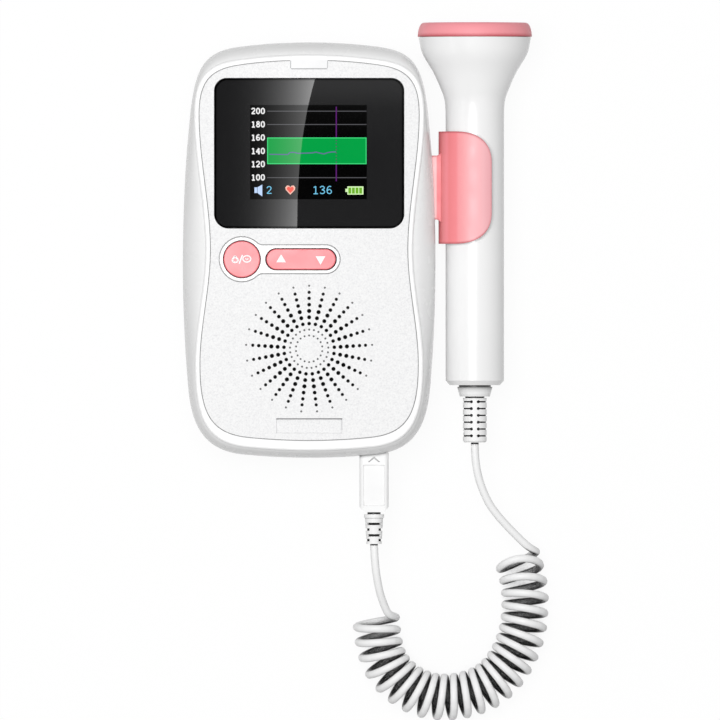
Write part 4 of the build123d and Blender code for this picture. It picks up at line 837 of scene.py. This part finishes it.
BATTERY_TIP = (345.4, 189.0, 347.4, 192.2)
BATTERY_BARS = [(348.4 + 3.6 * k, 187.8, 351.2 + 3.6 * k, 193.8) for k in range(4)]

INKS = {
    "white": (245, 245, 245),
    "grey": (88, 88, 92),
    "green": (0, 160, 68),
    "mint": (64, 222, 128),
    "violet": (92, 32, 112),
    "trace": (100, 104, 156),
    "blue": (120, 205, 240),
    "pale_blue": (196, 220, 255),
    "red": (240, 84, 66),
    "rose": (246, 190, 172),
    "leaf": (110, 176, 44),
    "lime": (216, 250, 186),
}
screen_black = paint("screen_black", (0.0, 0.0, 0.0))
ink = {name: paint(f"ink_{name}", linear(*colour)) for name, colour in INKS.items()}
layer = [lens_high.z + MARK_LIFT * step for step in range(1, 5)]


def heart(scale):
    """The heart at that share of its size."""
    return [outline(*((HEART_COLUMN + x * scale, HEART_ROW + y * scale) for x, y in HEART))]


flat("screen", [bar(*SCREEN)], layer[0], screen_black)
flat(
    "screen_grid",
    [bar(GRID_LEFT, row - GRID_LINE / 2, GRID_RIGHT, row + GRID_LINE / 2) for row in GRID_ROWS],
    layer[1],
    ink["grey"],
)
flat("screen_band", [bar(*BAND)], layer[1], ink["green"])
flat("screen_band_edge", border(*BAND, BAND_EDGE), layer[2], ink["mint"])
flat(
    "screen_cursor",
    [
        upright(CURSOR_COLUMN, CURSOR_TOP, BAND[1], CURSOR_LINE),
        upright(CURSOR_COLUMN, BAND[3], CURSOR_LOW, CURSOR_LINE),
    ]
    + [
        upright(CURSOR_COLUMN, row, row + CURSOR_DOT_TALL, CURSOR_DOT_WIDE)
        for row in CURSOR_DOT_ROWS
    ],
    layer[3],
    ink["violet"],
)
flat("screen_trace", stroke(TRACE, TRACE_LINE), layer[2], ink["trace"])
flat(
    "screen_scale",
    [
        shape
        for text, row in SCALE_ROWS.items()
        for shape in written(text, middle=row, **SCALE_TEXT)
    ],
    layer[1],
    ink["white"],
)
flat(
    "screen_values",
    written("2", **VOLUME_TEXT) + written("136", **RATE_TEXT),
    layer[1],
    ink["blue"],
)
flat(
    "screen_speaker",
    [outline(*SPEAKER_BACK), outline(*SPEAKER_CONE)],
    layer[1],
    ink["pale_blue"],
)
flat("screen_heart_edge", heart(1.0), layer[1], ink["rose"])
flat("screen_heart", heart(HEART_FILL), layer[2], ink["red"])
flat("screen_battery_edge", [bar(*BATTERY), bar(*BATTERY_TIP)], layer[1], ink["lime"])
flat("screen_battery", [bar(*cell) for cell in BATTERY_BARS], layer[2], ink["leaf"])

# Keys, in pixels of the front view
DROP_COLUMN, DROP_ROW, DROP_PEN = 235.4, 259.6, 1.7
DROP = [(-3.0, 0.3), (-0.2, -3.4), (2.8, 0.3), (2.2, 2.2), (0, 3.0), (-2.2, 2.2), (-3.0, 0.3)]
SLASH, SLASH_PEN = [(242.6, 255.0), (239.4, 263.8)], 1.3
RING_COLUMN, RING_ROW, RING_PEN = 247.0, 259.0, 1.3
RING_WIDE, RING_TALL, RING_SIDES = 3.9, 3.2, 20
RING_ARROW, ARROW_PEN = [(245.6, 258.4), (247.0, 260.2), (248.4, 258.4)], 1.0
UP_ARROW = [(276.4, 262.4), (286.0, 262.4), (281.2, 254.4)]
DOWN_ARROW = [(315.6, 256.4), (320.6, 264.8), (325.4, 256.4)]

key_mark = plastic("key_mark", linear(255, 250, 250), 0.35, 0.3 * MM, 0.004 * MM)
oval = [
    (RING_COLUMN + RING_WIDE * math.cos(turn), RING_ROW - RING_TALL * math.sin(turn))
    for turn in [*circle_angles(RING_SIDES), 2 * math.pi]
]
flat(
    "power_marks",
    stroke([(DROP_COLUMN + x, DROP_ROW + y) for x, y in DROP], DROP_PEN)
    + stroke(SLASH, SLASH_PEN)
    + stroke(oval, RING_PEN)
    + stroke(RING_ARROW, ARROW_PEN),
    key_top + MARK_LIFT,
    key_mark,
    "power_key",
)
flat(
    "rocker_marks",
    [outline(*UP_ARROW), outline(*DOWN_ARROW)],
    key_top + MARK_LIFT,
    key_mark,
    "rocker",
)

# Lens: its black border just inside its bevelled edge
LENS_CORNER = 4.3
LENS_BEVEL = 0.2
LENS_BORDER = 0.5
CORNER_STEPS = 8


def rounded(inset):
    """The lens's outline, drawn in by inset, in millimetres."""
    radius = LENS_CORNER - inset
    right, high = lens_high.x / MM - inset, lens_high.y / MM - inset
    left, low = lens_low.x / MM + inset, lens_low.y / MM + inset
    middles = [(right, high), (left, high), (left, low), (right, low)]
    points = []
    for quarter, (x, y) in enumerate(middles):
        x += radius if x == left else -radius
        y += radius if y == low else -radius
        for step in range(CORNER_STEPS + 1):
            turn = math.pi / 2 * (quarter + step / CORNER_STEPS)
            points.append((x + radius * math.cos(turn), y + radius * math.sin(turn)))
    return points


def ring(outer, inner):
    """The quads between two outlines with as many points."""
    count = len(outer)
    return [[outer[k - 1], outer[k], inner[k], inner[k - 1]] for k in range(count)]


border_black = paint("border_black", (0.0, 0.0, 0.0))
flat(
    "lens_border",
    ring(rounded(LENS_BEVEL), rounded(LENS_BEVEL + LENS_BORDER)),
    layer[0],
    border_black,
)

# Speaker grille: painted shade as dark rings round its holes and as grey discs in its blind dimples
GRILLE_MIDDLE = -32.9
GRILLE_RAYS = 25
GRILLE_RINGS = (
    (18.8, 0.85), (16.8, 0.95), (14.7, 1.05), (12.6, 1.2), (10.5, 1.15), (8.4, 1.0),
)  # radius of the ring and diameter of its holes
GRILLE_RIM = 0.13
GRILLE_OVERLAP = 0.93  # the rims' inner edge, as a share of the hole
DISC_SIDES = 12
DIMPLE_RINGS = ((21.0, 0.75, 25), (6.4, 0.75, 25), (4.43, 0.7, 18))
DIMPLE_DEPTH = 0.35 * MM


def disc(x, y, radius):
    """A many-sided disc."""
    return [
        (x + radius * math.cos(turn), y + radius * math.sin(turn))
        for turn in circle_angles(DISC_SIDES)
    ]


def spots(ring_radius, count):
    """Places on a ring round the grille's middle, the first one at its top."""
    return [
        (ring_radius * math.cos(turn), GRILLE_MIDDLE + ring_radius * math.sin(turn))
        for turn in [math.pi / 2 + angle for angle in circle_angles(count)]
    ]


# Painted shade: black rings round the holes, so they look as large and dark as the shaded holes
rim_black = plastic("rim_black", linear(14, 14, 14), 0.6, 0.2 * MM, 0.004 * MM)
# Painted shade: grey discs on the floors of the blind dimples
dimple_grey = plastic("dimple_grey", linear(112, 112, 113), 0.6, 0.2 * MM, 0.004 * MM)
flat(
    "grille_rims",
    [
        quad
        for ring_radius, wide in GRILLE_RINGS
        for place in spots(ring_radius, GRILLE_RAYS)
        for quad in ring(
            disc(*place, wide / 2 + GRILLE_RIM), disc(*place, wide / 2 * GRILLE_OVERLAP)
        )
    ],
    panel_top + MARK_LIFT,
    rim_black,
)
flat(
    "grille_dimples",
    [
        disc(*place, wide / 2)
        for ring_radius, wide, count in DIMPLE_RINGS
        for place in spots(ring_radius, count)
    ],
    panel_top - DIMPLE_DEPTH + MARK_LIFT,
    dimple_grey,
)

# Tab at the panel's top, with painted shade on its sides and lower edge
tab_white = plastic("tab_white", linear(238, 238, 239), 0.4, 0.3 * MM, 0.004 * MM)
tab_grey = plastic("tab_grey", linear(176, 176, 178), 0.5, 0.3 * MM, 0.004 * MM)
TAB_LEFT, TAB_TOP, TAB_RIGHT, TAB_LOW = 290.4, 60.2, 327.8, 69.6
TAB_LEFT_LINE, TAB_RIGHT_LINE, TAB_LOW_LINE = 0.8, 0.6, 1.0
TAB_START = 1.2  # where the side lines start, below the tab's top
flat(
    "tab_face",
    [bar(TAB_LEFT, TAB_TOP, TAB_RIGHT, TAB_LOW)],
    panel_top + MARK_LIFT,
    tab_white,
)
side_top, side_low = TAB_TOP + TAB_START, TAB_LOW - TAB_LOW_LINE
# Painted shade along the tab's sides and lower edge
flat(
    "tab_edge",
    [
        bar(TAB_LEFT + TAB_LEFT_LINE, side_low, TAB_RIGHT - TAB_LEFT_LINE, TAB_LOW),
        bar(TAB_LEFT, side_top, TAB_LEFT + TAB_LEFT_LINE, side_low),
        bar(TAB_RIGHT - TAB_RIGHT_LINE, side_top, TAB_RIGHT, side_low),
    ],
    panel_top + 2 * MARK_LIFT,
    tab_grey,
)

# Label field: a line of painted shadow along its upper edge and a faint line of painted shade down
# its right side
# Painted shadow and painted shade lines along the field's edges
field_grey = plastic("field_grey", linear(120, 120, 122), 0.6, 0.3 * MM, 0.004 * MM)
field_pale = plastic("field_pale", linear(214, 214, 216), 0.6, 0.3 * MM, 0.004 * MM)
FIELD_LEFT, FIELD_TOP, FIELD_RIGHT, FIELD_LOW = 276.5, 418.2, 342.4, 430.0
FIELD_TOP_LINE, FIELD_SIDE_LINE = 0.9, 0.8
FIELD_SIDE_START = 1.2
flat(
    "field_edge",
    [bar(FIELD_LEFT, FIELD_TOP, FIELD_RIGHT, FIELD_TOP + FIELD_TOP_LINE)],
    panel_top + MARK_LIFT,
    field_grey,
)
flat(
    "field_side",
    [bar(FIELD_RIGHT - FIELD_SIDE_LINE, FIELD_TOP + FIELD_SIDE_START, FIELD_RIGHT, FIELD_LOW)],
    panel_top + MARK_LIFT,
    field_pale,
)

# ---------------------------------------------------------------------------------------------
# Floor, world and lights
# ---------------------------------------------------------------------------------------------
FLOOR_REACH = 30.0  # from its middle to the middle of each of its three edges
FLOOR_DROP = 0.02 * MM
FLOOR_WHITE = 1.07  # how brightly the camera sees the open floor
FLOOR_GLOW = 0.88  # how much of the floor that the camera sees is plain white, not lit
# Painted shade on the floor where it is hemmed in, as in the curl's gaps
SHADE_REACH = 11 * MM
SHADE_DARK, SHADE_LIGHT = 0.22, 0.4
FLOOR_GREY, FLOOR_SHADE = 0.5, 0.05  # the lit part's tone in the open and in the gaps


def white_floor():
    """The floor's material: white to the eye, but with painted shade in the curl's gaps."""
    material = bpy.data.materials.new("floor_white")
    graph = cleared(material)
    openness = graph.occlusion(SHADE_REACH)
    # Painted shade: the lit part darkens and the glow fades where the floor is hemmed in
    tone = graph.stretched(openness, SHADE_DARK, SHADE_LIGHT, FLOOR_SHADE, FLOOR_GREY)
    glow_share = graph.stretched(openness, SHADE_DARK, SHADE_LIGHT, 0.0, FLOOR_GLOW)
    graph.end(
        "ShaderNodeOutputMaterial",
        graph.math("MULTIPLY", graph.seen_directly(), glow_share),
        graph.add("ShaderNodeBsdfDiffuse", {"Color": tone}),
        graph.add("ShaderNodeEmission", {"Color": (1, 1, 1, 1), "Strength": FLOOR_WHITE}),
    )
    return material


half_edge = FLOOR_REACH * math.sqrt(3)
floor = placed(
    "floor",
    [(-half_edge, -FLOOR_REACH, 0), (half_edge, -FLOOR_REACH, 0), (0, 2 * FLOOR_REACH, 0)],
    [(0, 1, 2)],
)
floor.location.z = -FLOOR_DROP
wear(floor, white_floor())

WORLD_LEVEL = 0.37
BACKDROP_LEVEL = 1.0
world = bpy.data.worlds.new("studio")
bpy.context.scene.world = world
sky = cleared(world)
sky.end(
    "ShaderNodeOutputWorld",
    sky.seen_directly(),
    sky.add("ShaderNodeBackground", {"Color": (1, 1, 1, 1), "Strength": WORLD_LEVEL}),
    sky.add("ShaderNodeBackground", {"Color": (1, 1, 1, 1), "Strength": BACKDROP_LEVEL}),
)

KEY_LIGHT_PLACE = (-0.13, 0.12, 1.25)
KEY_LIGHT_SIZE = 0.55
KEY_LIGHT_POWER = 9.9


def softbox(name, place, size, power):
    """A square area light that looks at the object."""
    light = bpy.data.lights.new(name, "AREA")
    light.shape = "SQUARE"
    light.size = size
    light.energy = power
    lamp = bpy.data.objects.new(name, light)
    bpy.context.scene.collection.objects.link(lamp)
    lamp.location = place
    aim = Vector((*VIEW_CENTRE, 0)) - lamp.location
    lamp.rotation_mode = "QUATERNION"
    lamp.rotation_quaternion = aim.to_track_quat("-Z", "Y")


softbox("key_light", KEY_LIGHT_PLACE, KEY_LIGHT_SIZE, KEY_LIGHT_POWER)

# A graded card over the lens, which only shiny surfaces see: bright up to its edge, dark beyond
CARD_HEIGHT = 45 * MM
CARD_LEFT, CARD_RIGHT = 200.0, 420.0
CARD_COLUMNS = 16
CARD_FALL = 4  # how fast it darkens away from its edge
# Its curved edge as pixels of its reflection, how brightly it shines there and beyond it
CARD_EDGE = [
    (317.0, 70.0, 7.4, 0.6),
    (311.6, 90.0, 6.9, 0.45),
    (307.2, 108.0, 6.0, 0.16),
    (302.6, 135.0, 5.0, 0.08),
    (299.2, 165.0, 4.4, 0.06),
    (297.4, 195.0, 4.4, 0.06),
    (296.6, 245.0, 5.6, 0.1),
]


def card_rows():
    """The card's points and how each shines: a graded sheet up to the edge, a dark one beyond."""
    vertices, glows = [], []
    steps = [step / CARD_COLUMNS for step in range(CARD_COLUMNS + 1)]
    for column, row, glow, beyond in CARD_EDGE:
        places = [CARD_LEFT + (column - CARD_LEFT) * share for share in steps]
        for place in (*places, column, CARD_RIGHT):
            x, y = at(place, row)
            vertices.append((x * MM, y * MM, lens_high.z + CARD_HEIGHT))
        glows += [*(glow * share**CARD_FALL for share in steps), beyond, beyond]
    return vertices, glows


def shiny_card():
    """The card, with a break between its two sheets."""
    vertices, glows = card_rows()
    wide = CARD_COLUMNS + 3
    faces = [
        (k, k + 1, k + 1 + wide, k + wide)
        for row in range(len(CARD_EDGE) - 1)
        for k in range(row * wide, (row + 1) * wide - 1)
        if k - row * wide != CARD_COLUMNS
    ]
    card = placed("card", vertices, faces)
    card.data.attributes.new("glow", "FLOAT", "POINT").data.foreach_set("value", glows)
    material = bpy.data.materials.new("card")
    graph = cleared(material)
    glow = graph.add("ShaderNodeAttribute", attribute_name="glow").outputs["Fac"]
    light = graph.add("ShaderNodeEmission", {"Strength": glow}).outputs["Emission"]
    graph.add("ShaderNodeOutputMaterial", {"Surface": light})
    wear(card, material)
    card.visible_camera = False
    card.visible_diffuse = False
    card.visible_shadow = False
    card.visible_transmission = False


shiny_card()

bpy.context.scene.view_settings.view_transform = "Standard"
